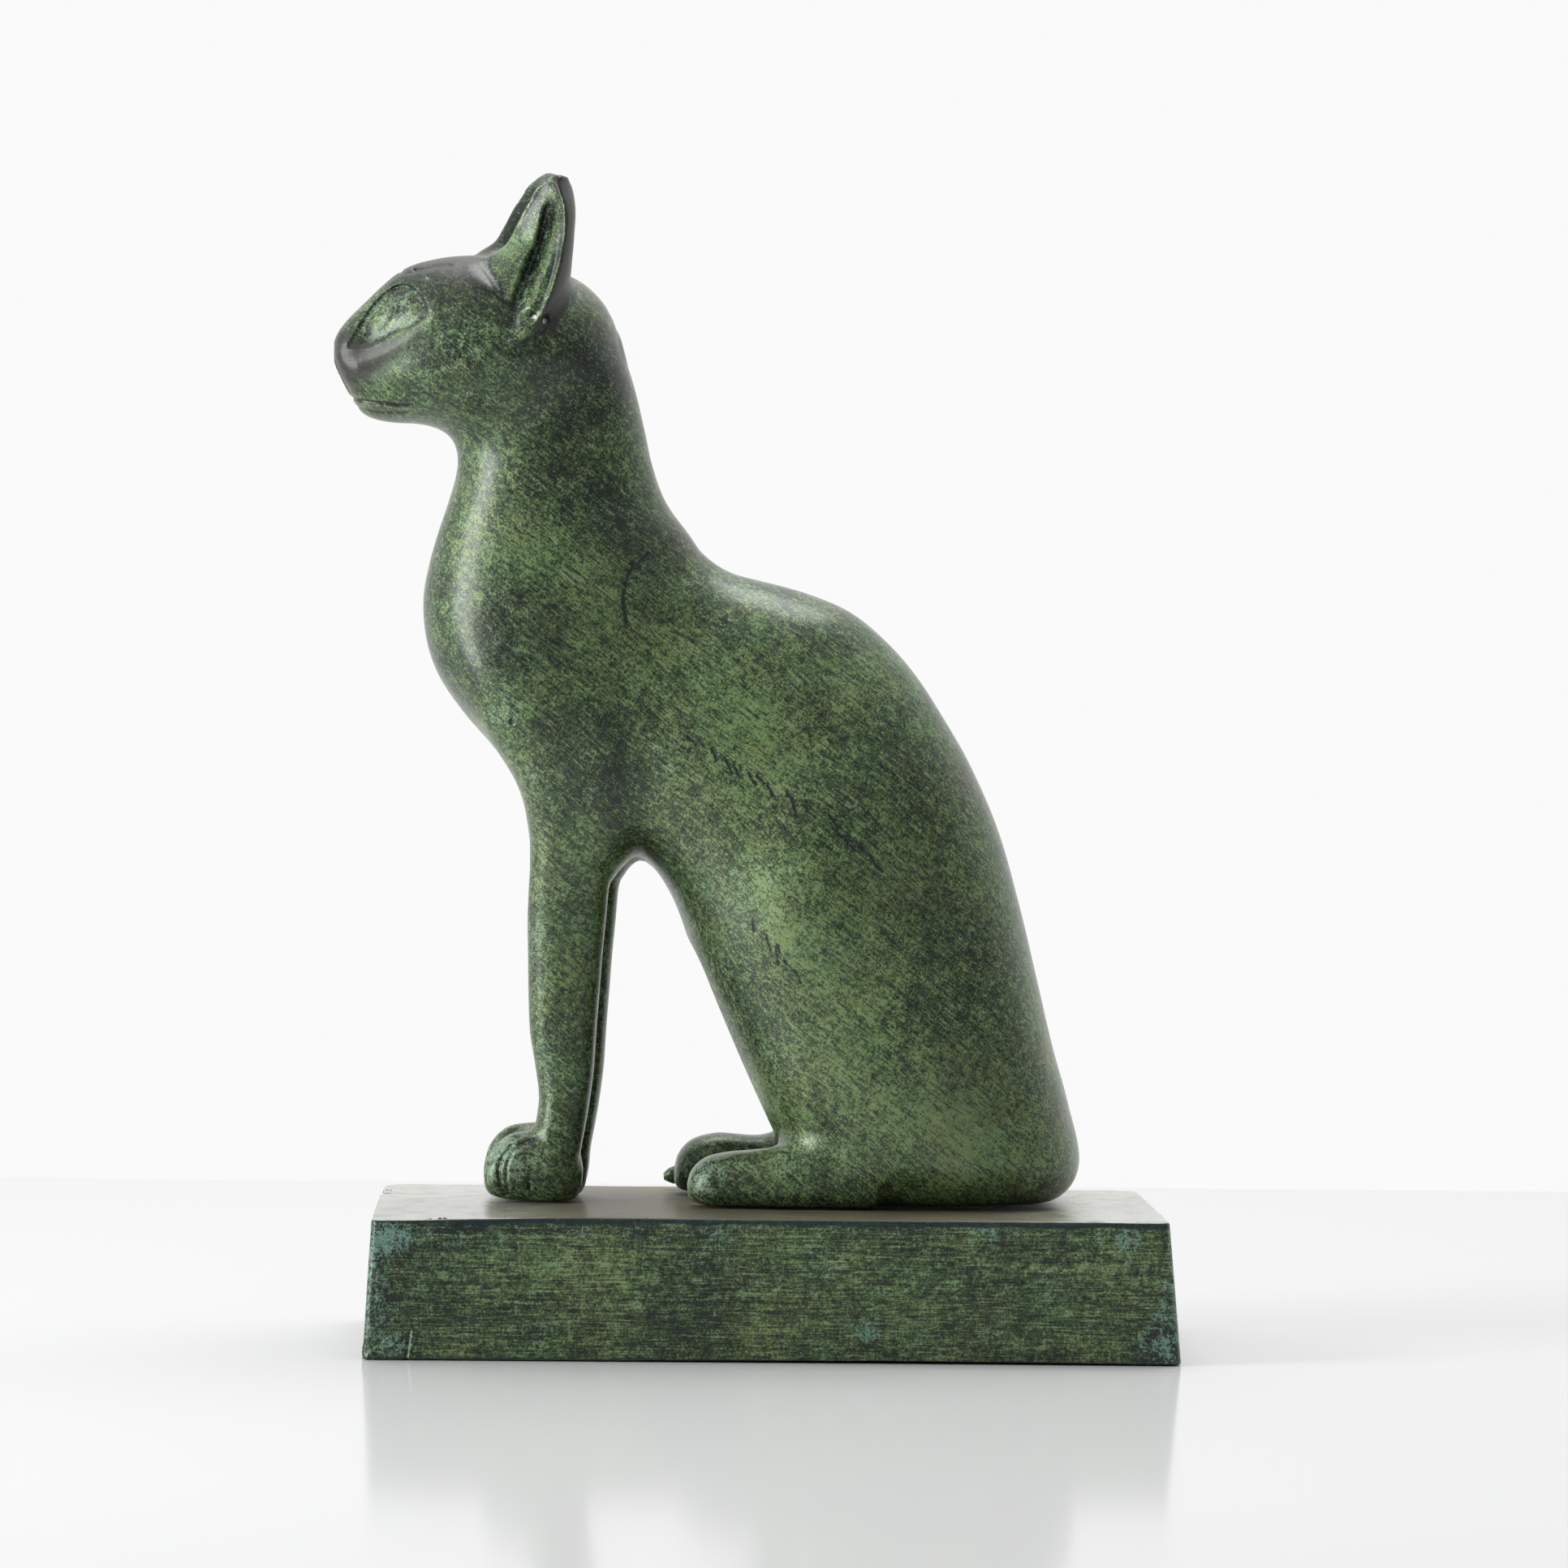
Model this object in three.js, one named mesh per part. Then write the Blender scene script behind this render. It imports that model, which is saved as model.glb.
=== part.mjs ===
import * as THREE from 'three';

// A seated cat cast in bronze, set on a low bronze plinth. Millimetres, +Z up.
// The origin is the middle of the whole figure's footprint, the cat's nose included, on the
// surface it stands on. The cat faces -X.

// Driving dimensions
const catHeight = 259;           // from the soles of the feet to the tips of the ears
const plinthHeight = 35;         // from the table to the plinth's top
const seatGap = 0.3;             // between the plinth's top and the cat's soles
const plinthAhead = 28;          // plinth's foot ahead of the forepaws
const plinthBehind = 21.4;       // plinth's foot behind the rump
const plinthNearSide = 26;       // plinth's foot beyond the near hind foot
const plinthTailSide = 2.6;      // plinth's foot beyond the tail
const plinthFrontDraft = 1.8;    // how far the front end leans in, from foot to top
const plinthRearDraft = 3.2;     // how far the rear end leans in
const plinthSideDraft = 1;       // how far each long side leans in
const plinthCornerRadius = 2;    // upright corners
const plinthEdgeRadius = 0.8;    // worn upper edge
const plinthWall = 4.5;          // thickness of its four walls; it is open below
const plinthRoof = 4;            // thickness of its top
const plinthInnerRadius = 2.5;   // upright corners inside
const patinaGreen = 0x3c5239;
const plinthGreen = 0x3a5637;

// The cat is drawn 259 units tall, from its soles at z = 0, and scaled to catHeight.
// x runs from the nose (minus) to the rump (plus), y is 0 in the cat's own middle.
const drawnHeight = 259;
const drawnPawFront = -71.6;
const drawnRumpBack = 78.8;
const drawnNearSide = -29;
const drawnTailSide = 38.6;
const scale = catHeight / drawnHeight;

const clamp = THREE.MathUtils.clamp;
const smoothstep = THREE.MathUtils.smoothstep;

function smoothMin(a, b, blend) {
  const near = Math.max(blend - Math.abs(a - b), 0) / blend;
  return Math.min(a, b) - near * near * blend / 4;
}

function smoothMax(a, b, blend) {
  return -smoothMin(-a, -b, blend);
}

// Smooth curves through the rows of a table, looked up by the first column
const tableStep = 0.5;

function curvesThrough(rows) {
  const places = rows.map((row) => row[0]);
  const width = rows[0].length - 1;
  const slopes = rows.map((row, i) => {
    const before = rows[Math.max(i - 1, 0)];
    const after = rows[Math.min(i + 1, rows.length - 1)];
    return row.map((value, k) => (after[k] - before[k]) / (after[0] - before[0]));
  });
  const start = places[0];
  const end = places[places.length - 1];
  const count = Math.ceil((end - start) / tableStep) + 1;
  const table = new Float64Array(count * width);
  for (let n = 0, i = 0; n < count; n += 1) {
    const place = Math.min(start + n * tableStep, end);
    while (i < rows.length - 2 && place > places[i + 1]) i += 1;
    const span = places[i + 1] - places[i];
    const p = (place - places[i]) / span;
    for (let k = 1; k <= width; k += 1) {
      const leave = (1 + 2 * p) * (1 - p) * (1 - p) * rows[i][k];
      const arrive = p * p * (3 - 2 * p) * rows[i + 1][k];
      const bend = p * (1 - p) * (1 - p) * slopes[i][k] - p * p * (1 - p) * slopes[i + 1][k];
      table[n * width + k - 1] = leave + arrive + bend * span;
    }
  }
  return { start, end, count, width, table };
}

function lookUp(curves, place, into) {
  const at = clamp((place - curves.start) / tableStep, 0, curves.count - 1.001);
  const n = Math.floor(at);
  const part = at - n;
  const { table, width } = curves;
  for (let k = 0; k < width; k += 1) {
    into[k] = table[n * width + k] * (1 - part) + table[(n + 1) * width + k] * part;
  }
  return into;
}

// A body swept along an axis. Each row is a section: its place along the axis, its low and
// high limits across, its half width sideways, the level where it is widest, how square it
// is (2 is an ellipse), and how far its middle stands out sideways.
const here = new Float64Array(6);
const next = new Float64Array(6);

function sectionRatio(section, across, side) {
  const [low, high, half, widest, square, middle] = section;
  const reach = across < widest ? widest - low : high - widest;
  const u = Math.abs(across - widest) / reach;
  const v = Math.abs(side - middle) / half;
  return Math.pow(Math.pow(u, square) + Math.pow(v, square), 1 / square);
}

function sweptDistance(curves, along, across, side) {
  const place = clamp(along, curves.start, curves.end);
  const behind = Math.min(place, curves.end - tableStep);
  lookUp(curves, behind, here);
  lookUp(curves, behind + tableStep, next);
  const ratio = Math.max(sectionRatio(here, across, side), 1e-4);
  const reach = across < here[3] ? here[3] - here[0] : here[1] - here[3];
  const u = Math.abs(across - here[3]) / reach;
  const v = Math.abs(side - here[5]) / here[2];
  const slopeAcross = Math.pow(u / ratio, here[4] - 1) / reach;
  const slopeSide = Math.pow(v / ratio, here[4] - 1) / here[2];
  const slopeRound = Math.max(Math.hypot(slopeAcross, slopeSide), 1e-6);
  const gain = (sectionRatio(next, across, side) - ratio) / tableStep;
  const steep = gain / Math.max(ratio, 1);
  const calm = steep * slopeRound / Math.hypot(steep, slopeRound);
  const slopeAlong = THREE.MathUtils.lerp(steep, calm, smoothstep(ratio, 1.1, 1.8));
  const reached = ratio + gain * (place - behind) + Math.max(gain * (along - place), 0);
  const distance = (reached - 1) / Math.hypot(slopeRound, slopeAlong);
  return Math.max(distance, along - curves.end, curves.start - along);
}

// Haunches and back, swept up an axis that leans forward by haunchLean
const haunchLean = THREE.MathUtils.degToRad(25);
const haunch = curvesThrough([
  [-45, 12, 62, 27, 38, 2.5, 0],
  [-24, 11, 75.4, 31, 40, 2.5, 0],
  [-9, 9.5, 79, 33.2, 41, 2.5, 0],
  [6, 8, 81.4, 34.6, 41, 2.4, 0],
  [23, 7.6, 84.8, 35, 42, 2.4, 0],
  [42, 7.6, 88.5, 34.6, 43, 2.3, 0],
  [61, 8.2, 91.3, 33.4, 45, 2.3, 0],
  [79, 9.6, 91.6, 31.6, 47, 2.3, 0],
  [91, 7.6, 90.5, 30, 47, 2.3, 0],
  [104, 2, 88.6, 28, 46, 2.3, 0],
  [115, -2, 85.4, 26, 44, 2.2, 0],
  [126, -2, 80, 23.4, 42, 2.2, 0],
  [135, 1, 71.8, 20.4, 40, 2.1, 0],
  [144, 9, 60.8, 16.4, 38, 2, 0],
  [150, 18, 52.6, 12.5, 36, 2, 0],
  [156, 26, 44.6, 8, 35, 2, 0],
]);

// Chest and neck, swept straight up
const chest = curvesThrough([
  [81, -56, -46, 6, -51, 2, 0],
  [85, -58.4, -40, 12.5, -50, 2.2, 0],
  [92, -60, -35, 17, -49, 2.3, 0],
  [100, -61.4, -30, 19.4, -49, 2.3, 0],
  [106, -64.4, -25, 20.8, -50, 2.2, 0],
  [114, -70.8, -20, 22.6, -52, 2.2, 0],
  [122, -77.9, -15.6, 24.2, -54, 2.2, 0],
  [131, -84.1, -12.2, 25.2, -56, 2.2, 0],
  [140, -87.3, -10.4, 25.2, -57, 2.1, 0],
  [150, -88.2, -11.4, 24.2, -57, 2.1, 0],
  [158, -87, -15.8, 22.6, -56, 2.1, 0],
  [166, -84.9, -20.8, 20.8, -55, 2.1, 0],
  [175, -82, -27.4, 19.4, -56, 2.1, 0],
  [184, -79.5, -30.9, 18.8, -56, 2.1, 0],
  [193, -77.4, -33, 18.6, -56, 2.1, 0],
  [202, -75, -35.2, 18.6, -56, 2.1, 0],
  [209, -72.5, -37.4, 18.2, -56, 2.1, 0],
  [214, -70, -39.8, 16.4, -56, 2, 0],
  [218, -67, -44, 13, -56, 2, 0],
  [221, -64, -49.5, 8.4, -57, 2, 0],
  [222.5, -61.5, -54, 4, -58, 2, 0],
]);

// One foreleg, from the sole to the shoulder; the other mirrors it
const foreleg = curvesThrough([
  [0, -59.5, -48.2, 6, -53.5, 2.2, 8.4],
  [6, -59, -46.5, 6.5, -52.5, 2.2, 8.4],
  [12, -58.1, -45.9, 6.7, -52, 2.2, 8.4],
  [20, -57.1, -44.5, 6.8, -51, 2.2, 8.3],
  [26, -56.5, -43.6, 6.8, -50.5, 2.2, 8.3],
  [33, -57.4, -42.8, 6.9, -50.5, 2.2, 8.2],
  [42, -58.9, -42.3, 7, -51, 2.2, 8.2],
  [52, -59.4, -41.6, 7.1, -51, 2.2, 8.3],
  [61, -59.6, -41, 7.2, -51, 2.2, 8.4],
  [70, -59.8, -40.2, 7.4, -50.5, 2.2, 8.6],
  [78, -59.6, -39.6, 7.7, -50, 2.2, 9],
  [84, -59.3, -39, 8.1, -50, 2.2, 9.5],
  [92, -59.1, -38, 8.8, -50, 2.2, 10.4],
  [104, -62.2, -38, 9.8, -52, 2.2, 12.4],
  [118, -69.6, -42, 10.2, -57, 2.2, 14],
  [132, -75, -48, 9.4, -61, 2.1, 13.6],
  [146, -77, -54, 5, -65, 2, 11],
]);

// One forepaw, swept back from the toes
const forepaw = curvesThrough([
  [-71.4, 3.6, 7, 3, 5.5, 2, 8.4],
  [-70.8, 2.2, 9.8, 4.8, 5.5, 2.1, 8.4],
  [-69.8, 1.2, 12.2, 6, 5.5, 2.2, 8.4],
  [-67.8, 0.3, 14.6, 6.8, 5.5, 2.3, 8.4],
  [-65, -0.6, 16.4, 7.3, 6, 2.4, 8.4],
  [-61, -1, 17.1, 7.5, 6, 2.4, 8.4],
  [-57, -1, 17.2, 7.4, 6, 2.4, 8.4],
  [-52, -1, 16, 6.8, 6, 2.3, 8.4],
  [-49, 0.5, 12, 5, 6, 2.2, 8.4],
  [-47.3, 2.6, 8, 2.6, 5.5, 2, 8.4],
]);

// One hind foot, swept back from the toes
const hindFoot = curvesThrough([
  [-21.9, 2.6, 5.6, 2.8, 4, 2, 18.6],
  [-21.2, 1.2, 8, 5, 4, 2.1, 18.7],
  [-19.6, 0.2, 10.2, 6.8, 4, 2.2, 18.8],
  [-17, -0.8, 12, 7.9, 4, 2.3, 19],
  [-12, -1.5, 13.2, 8.6, 4, 2.4, 19.3],
  [-6, -1.5, 13.8, 8.9, 4, 2.4, 19.6],
  [0, -1.5, 14.6, 9.2, 4, 2.4, 20],
  [10, -1.5, 17, 9.6, 5, 2.4, 20.6],
  [24, -1.5, 18, 9, 5, 2.4, 21],
]);

// Head, swept back from the nose
const head = curvesThrough([
  [-111.2, 209, 214.4, 3, 212, 2, 0],
  [-110.6, 207.4, 216, 5, 211, 2, 0],
  [-109.2, 204.4, 218.2, 6.8, 209.5, 1.9, 0],
  [-107.2, 200.9, 220.6, 8.4, 208, 1.85, 0],
  [-105, 197.6, 222.8, 9.8, 206.5, 1.8, 0],
  [-103, 195.9, 224.8, 11, 206, 1.75, 0],
  [-100, 194.8, 227.8, 12.9, 206, 1.75, 0],
  [-96, 194.2, 231.3, 15.4, 207, 1.8, 0],
  [-92, 194.1, 233.6, 17.8, 208, 1.9, 0],
  [-87, 194.1, 235.1, 20.2, 209, 2, 0],
  [-82, 194.4, 236, 22, 210, 2.1, 0],
  [-76, 195, 236.4, 23.4, 211, 2.2, 0],
  [-70, 196, 236.2, 24, 212, 2.2, 0],
  [-65, 197.6, 234.4, 22.8, 212, 2.2, 0],
  [-60, 199.4, 232, 20.6, 212, 2.1, 0],
  [-55, 201.4, 229, 18, 212, 2, 0],
  [-50, 204, 225.6, 14.6, 212, 2, 0],
  [-46, 206.6, 221.6, 10.4, 212, 2, 0],
  [-43.5, 209, 218.4, 6.6, 212.4, 2, 0],
  [-42.3, 211, 215.6, 3, 213, 2, 0],
]);

// The round back of the skull: its middle and its half sizes
const skullMiddle = new THREE.Vector3(-60, 0, 212);
const skullHalf = new THREE.Vector3(20.5, 21, 20.8);
const offSkull = new THREE.Vector3();

function skullDistance(x, y, z) {
  offSkull.set(x, y, z).sub(skullMiddle).divide(skullHalf);
  const ratio = offSkull.length();
  return (ratio - 1) * ratio / Math.max(offSkull.divide(skullHalf).length(), 1e-4);
}

// The head is turned and tipped a few degrees towards the cat's left, about the neck
const headTurn = THREE.MathUtils.degToRad(5);
const headTip = THREE.MathUtils.degToRad(4.5);
const headPivot = new THREE.Vector3(-62, 0, 200);
const intoHead = new THREE.Matrix3().setFromMatrix4(
  new THREE.Matrix4().makeRotationZ(headTurn)
    .multiply(new THREE.Matrix4().makeRotationX(headTip)),
).transpose();
const headPoint = new THREE.Vector3();

// One ear: a deep leaf that opens forward and outward. Each row is a level section: height,
// middle in x and in y, half chord and depth of its back.
const earAngle = THREE.MathUtils.degToRad(45);
const ear = curvesThrough([
  [212.5, -73, 21.6, 2, 2.4],
  [215.4, -71.5, 20.9, 4.4, 5],
  [218, -69.8, 18.9, 7, 8],
  [221.7, -68, 16.8, 9.5, 11],
  [226, -67, 15.6, 10.9, 13.2],
  [231, -66, 14.4, 11.9, 13.2],
  [236.5, -64.2, 14.2, 11.2, 11.2],
  [239.5, -62.6, 14.2, 9.8, 9.9],
  [243, -61.4, 14.2, 8.7, 9],
  [246.7, -60.4, 14.2, 7.4, 8.8],
  [250, -59.7, 14.2, 5.9, 8.5],
  [253.4, -59.3, 14.3, 4, 8],
  [255.4, -58.2, 14.5, 2.3, 5.6],
  [256.3, -57.3, 14.6, 1.5, 3.6],
  [256.8, -57, 14.6, 0.4, 1],
]);
const earSection = new Float64Array(4);
const farEarHigher = 0.6;        // the right ear stands this much higher
const earFront = 0.5;            // the leaf ends this far past its chord
const earFrontWall = 7;          // and where its front wall is, this much further out

// How far forward of the left ear the right ear stands, at each height
function farEarAhead(z) {
  return THREE.MathUtils.lerp(2.2, 0.3, smoothstep(z, 241, 255));
}

function earDistance(x, y, z) {
  const height = clamp(z, ear.start, ear.end);
  const [middleX, middleY, half, depth] = lookUp(ear, height, earSection);
  const dx = x - middleX;
  const dy = Math.abs(y) - middleY;
  const u = dx * Math.cos(earAngle) + dy * Math.sin(earAngle);
  const v = dx * Math.sin(earAngle) - dy * Math.cos(earAngle);
  const ratio = Math.hypot(u / half, v / depth);
  const slope = Math.hypot(u / (half * half), v / (depth * depth)) / Math.max(ratio, 0.05);
  const leaf = (ratio - 1) / Math.max(slope, 0.05) / 1.1;
  const wall = earFrontWall * smoothstep(z, 221, 229) * (1 - smoothstep(z, 229, 241));
  const distance = smoothMax(leaf, -earFront - wall - v, 1);
  return z === height ? distance : Math.hypot(Math.max(distance, 0), z - height);
}

// The ear's opening. Each row is a height, the place and depth of the floor at the front and
// at the rear, and how deep the groove goes.
const scoop = curvesThrough([
  [214, -69.4, 23.8, -69, 23.9, 0],
  [215.4, -69.2, 23.6, -68.4, 23.8, 0.2],
  [218, -69.4, 23.2, -64.8, 23.6, 1],
  [221.7, -69.8, 22, -61.3, 23.2, 1.8],
  [226, -70.2, 19.5, -59.3, 22.8, 2.6],
  [231, -73, 15, -57.6, 22.2, 3.2],
  [236.5, -73.2, 10, -56.3, 21.2, 3.6],
  [239.5, -69.8, 8.6, -55.8, 20.5, 3.6],
  [243, -67.5, 8.6, -55.3, 19.8, 3.4],
  [246.7, -65.6, 9.2, -55.2, 18.9, 2.8],
  [250, -63.8, 10.1, -55.6, 17.8, 1.8],
  [253.4, -61.9, 11.8, -56.7, 16.6, 0.7],
  [256, -58.8, 13.6, -57.6, 14.6, 0],
]);
const scoopSection = new Float64Array(5);
const earOpening = [
  [-60.2, 254.6], [-62, 252.6], [-63.4, 249.8], [-65.2, 246.4], [-67.1, 242.9], [-69.4, 239.4],
  [-72.4, 237.2], [-74.2, 235.4], [-73.6, 233], [-72.6, 230.8], [-71.4, 228.6], [-70.4, 226.4],
  [-70, 224], [-70.1, 221.6], [-69.7, 219.3], [-69.1, 217.4], [-68, 216.4], [-66, 217.5],
  [-63.5, 219.8], [-61.8, 222], [-60, 225.7], [-58.1, 231], [-57, 235.4], [-56.3, 239.2],
  [-55.8, 243], [-55.7, 246.8], [-56.1, 249.9], [-57.2, 252.9], [-58.6, 254.6],
].map(([x, z]) => new THREE.Vector2(x, z));
const earGroove = [
  [-58.8, 248.5], [-59.6, 244.5], [-60.7, 240.6], [-62.7, 235.3], [-64.6, 230.7],
  [-66.2, 226.9], [-67.4, 223.1], [-68.2, 219.3],
];
const earGrooveWidth = 1.7;

function earScooped(x, y, z) {
  const [frontX, frontY, rearX, rearY, groove] = lookUp(scoop, z, scoopSection);
  const share = clamp((x - frontX) / (rearX - frontX), 0, 1);
  const fromGroove = distanceToLine(earGroove, x, z) / earGrooveWidth;
  const floor = THREE.MathUtils.lerp(frontY, rearY, share) - groove * Math.exp(-(fromGroove ** 2));
  return smoothMin((Math.abs(y) - floor) / 1.25, -outlineDistance(earOpening, x, z), 1.2);
}

// The tail lies round the cat's right side: x, y, z and radius along its middle
const tail = [
  [69, 2, 9, 7],
  [69, 15, 7.6, 6.4],
  [62, 25.5, 6.4, 5.8],
  [48, 31.2, 5.6, 5.4],
  [30, 33.2, 5.3, 5.2],
  [10, 33, 5, 4.9],
  [-8, 32.2, 4.6, 4.4],
  [-18, 31.4, 4, 3.6],
  [-23.5, 31, 3.2, 2.2],
  [-26, 30.8, 2.8, 0.8],
];

function tailDistance(x, y, z) {
  let nearest = Infinity;
  for (let i = 0; i < tail.length - 1; i += 1) {
    const [ax, ay, az, ar] = tail[i];
    const [bx, by, bz, br] = tail[i + 1];
    const length2 = (bx - ax) ** 2 + (by - ay) ** 2 + (bz - az) ** 2;
    const along = ((x - ax) * (bx - ax) + (y - ay) * (by - ay) + (z - az) * (bz - az)) / length2;
    const t = clamp(along, 0, 1);
    const away = Math.hypot(x - ax - t * (bx - ax), y - ay - t * (by - ay), z - az - t * (bz - az));
    nearest = Math.min(nearest, away - (ar + t * (br - ar)));
  }
  return nearest;
}

// The hollow between the shins, a rod of this radius sunk along the belly
const shinHollow = { low: [5, 2], high: [-17, 56], radius: 7.5 };

function shinHollowDistance(x, y, z) {
  const [lowX, lowZ] = shinHollow.low;
  const [highX, highZ] = shinHollow.high;
  const length2 = (highX - lowX) ** 2 + (highZ - lowZ) ** 2;
  const along = ((x - lowX) * (highX - lowX) + (z - lowZ) * (highZ - lowZ)) / length2;
  const t = clamp(along, -0.3, 1);
  const across = Math.hypot(x - lowX - t * (highX - lowX), z - lowZ - t * (highZ - lowZ));
  return Math.hypot(across, y) - shinHollow.radius;
}

// Carving on the head, on both cheeks: a closed outline in x and z, sunk by a fixed depth
const eyeOutline = new THREE.Path(new THREE.SplineCurve([
  [-108, 213.4], [-104.4, 220], [-100.2, 225.6], [-95.2, 229], [-91.4, 228], [-89, 224.4],
  [-89.2, 220.6], [-93, 218.1], [-98.6, 215.2], [-104.3, 213],
].map(([x, z]) => new THREE.Vector2(x, z))).getPoints(40));
const eyePoints = eyeOutline.getPoints();
const eyeDepth = 0.9;
const mouthLine = [[-106, 199.8], [-99, 199.4], [-92.7, 198.9]];
const mouthDepth = 0.9;
const mouthWidth = 1.1;

function distanceToSegment(x, z, ax, az, bx, bz) {
  const t = clamp(((x - ax) * (bx - ax) + (z - az) * (bz - az)) / ((bx - ax) ** 2 + (bz - az) ** 2), 0, 1);
  return Math.hypot(x - ax - t * (bx - ax), z - az - t * (bz - az));
}

function distanceToLine(line, x, z) {
  let nearest = Infinity;
  for (let i = 0; i < line.length - 1; i += 1) {
    nearest = Math.min(nearest, distanceToSegment(x, z, ...line[i], ...line[i + 1]));
  }
  return nearest;
}

function outlineDistance(points, x, z) {
  let nearest = Infinity;
  let inside = false;
  for (let i = 0, j = points.length - 1; i < points.length; j = i, i += 1) {
    const a = points[i];
    const b = points[j];
    nearest = Math.min(nearest, distanceToSegment(x, z, a.x, a.y, b.x, b.y));
    if ((a.y > z) !== (b.y > z) && x < (b.x - a.x) * (z - a.y) / (b.y - a.y) + a.x) inside = !inside;
  }
  return inside ? -nearest : nearest;
}

function faceCarving(x, z) {
  if (x > -84) return 0;
  const eye = outlineDistance(eyePoints, x, z);
  const fromMouth = distanceToLine(mouthLine, x, z) / mouthWidth;
  return eyeDepth * (1 - smoothstep(eye, -0.9, 0.5)) + mouthDepth * Math.exp(-(fromMouth ** 2));
}

// Grooves between the toes of a forepaw: their distance out from the paw's middle
const toeGrooves = [-3.6, 0, 3.6];
const toeDepth = 0.9;
const toeWidth = 0.9;
const pawMiddle = 8.4;

function toeCarving(x, y, z) {
  if (x > -60 || z > 18) return 0;
  const fade = (1 - smoothstep(x, -66, -61)) * smoothstep(z, 0, 2);
  let sunk = 0;
  for (const groove of toeGrooves) {
    const off = (Math.abs(y) - pawMiddle - groove) / toeWidth;
    sunk += toeDepth * fade * Math.exp(-off * off);
  }
  return sunk;
}

// How far a point is outside the cat (minus inside), in drawn units. A form that is too
// far off to touch the point's surroundings is passed over.
const farLegBack = 1.25;         // the right foreleg stands back by twice this
const farPawAhead = 0.25;        // the right forepaw is forward by twice this
const farPawTaller = 0.05;       // and taller by this share
const farFootAhead = 1.45;       // the right hind foot is forward by twice this
const farToesTaller = 0.14;      // and its toes are taller by this share

// How widely two forms melt into each other where they meet
const soleBlend = 1.5;
const rumpSoleBlend = 12;
const shinBlend = 4;
const chestBlend = 7;
const shoulderBlend = 5;
const armpitBlend = 13;
const pawBlend = 3;
const footBlend = 5;
const tailBlend = 2;
const skullBlend = 6;
const throatBlend = 15;
const cheekBlend = 8;
const napeBlend = 3;
const crownBlend = 2;
const lobeBlend = 2;
const earBlend = 6;
const rearRimBlend = 1;
const frontRimBlend = 2.5;

function headBlend(x, z) {
  let blend = throatBlend;
  blend -= (throatBlend - cheekBlend) * smoothstep(x, -82, -60);
  blend -= (cheekBlend - napeBlend) * smoothstep(x, -64, -56);
  const high = smoothstep(z, 203, 216) * (1 - 0.5 * smoothstep(x, -62, -50));
  return THREE.MathUtils.lerp(blend, crownBlend, high);
}

function catDistance(x, y, z) {
  const side = clamp(y / 4, -1, 1);
  const far = (1 + side) / 2;
  const halfY = Math.abs(y);
  let body = Infinity;
  if (z < 172 && x > -66) {
    const across = x * Math.cos(haunchLean) + z * Math.sin(haunchLean);
    const up = z * Math.cos(haunchLean) - x * Math.sin(haunchLean);
    body = smoothMax(sweptDistance(haunch, up, across, y), -z, rumpSoleBlend);
    if (z < 75 && x < 30) body = smoothMax(body, -shinHollowDistance(x, y, z), shinBlend);
  }
  if (z > 72 && x < 4) body = smoothMin(body, sweptDistance(chest, z, x, y), chestBlend);
  if (z < 158 && x < -24) {
    const blend = THREE.MathUtils.lerp(shoulderBlend, armpitBlend, smoothstep(x, -54, -40));
    body = smoothMin(body, sweptDistance(foreleg, z, x - side * farLegBack, halfY), blend);
  }
  if (z < 31 && x < -34) {
    const paw = sweptDistance(forepaw, x + side * farPawAhead, z / (1 + farPawTaller * far), halfY);
    body = smoothMin(body, paw + toeCarving(x, y, z), pawBlend);
  }
  if (z < 31 && x > -36 && x < 38) {
    const footZ = z / (1 + farToesTaller * far * (1 - smoothstep(x, -14, 0)));
    const foot = sweptDistance(hindFoot, x + side * farFootAhead, footZ, halfY);
    body = smoothMin(body, foot, footBlend);
  }
  if (z < 26 && y > -20 && x > -40) body = smoothMin(body, tailDistance(x, y, z), tailBlend);
  if (z > 178 && x < -28) {
    headPoint.set(x, y, z).sub(headPivot).applyMatrix3(intoHead).add(headPivot);
    const { x: hx, y: hy, z: hz } = headPoint;
    const skull = smoothMin(sweptDistance(head, hx, hz, hy), skullDistance(hx, hy, hz), skullBlend);
    body = smoothMin(body, skull + faceCarving(hx, hz), headBlend(x, z));
    if (hz > 206 && hx > -84) {
      const earX = hy > 0 ? hx + farEarAhead(hz - farEarHigher) : hx;
      const earZ = hy > 0 ? hz - farEarHigher : hz;
      const blend = THREE.MathUtils.lerp(lobeBlend, earBlend, smoothstep(hz, 220, 232));
      const rim = THREE.MathUtils.lerp(frontRimBlend, rearRimBlend, smoothstep(hx, -70, -64));
      const whole = smoothMin(body, earDistance(earX, hy, earZ), blend);
      body = smoothMax(whole, earScooped(earX, hy, earZ), rim);
    }
  }
  return smoothMax(body, -z, soleBlend);
}

// The surface of the cat is found on a grid of small cells, only where it can pass
const cell = 1.35;
const blockCells = 4;
const blockMargin = 1.35;        // allows for distances that read a little long
const low = [-116.1, -42, -2.1];
const [nx, ny, nz] = [151, 66, 196];

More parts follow.
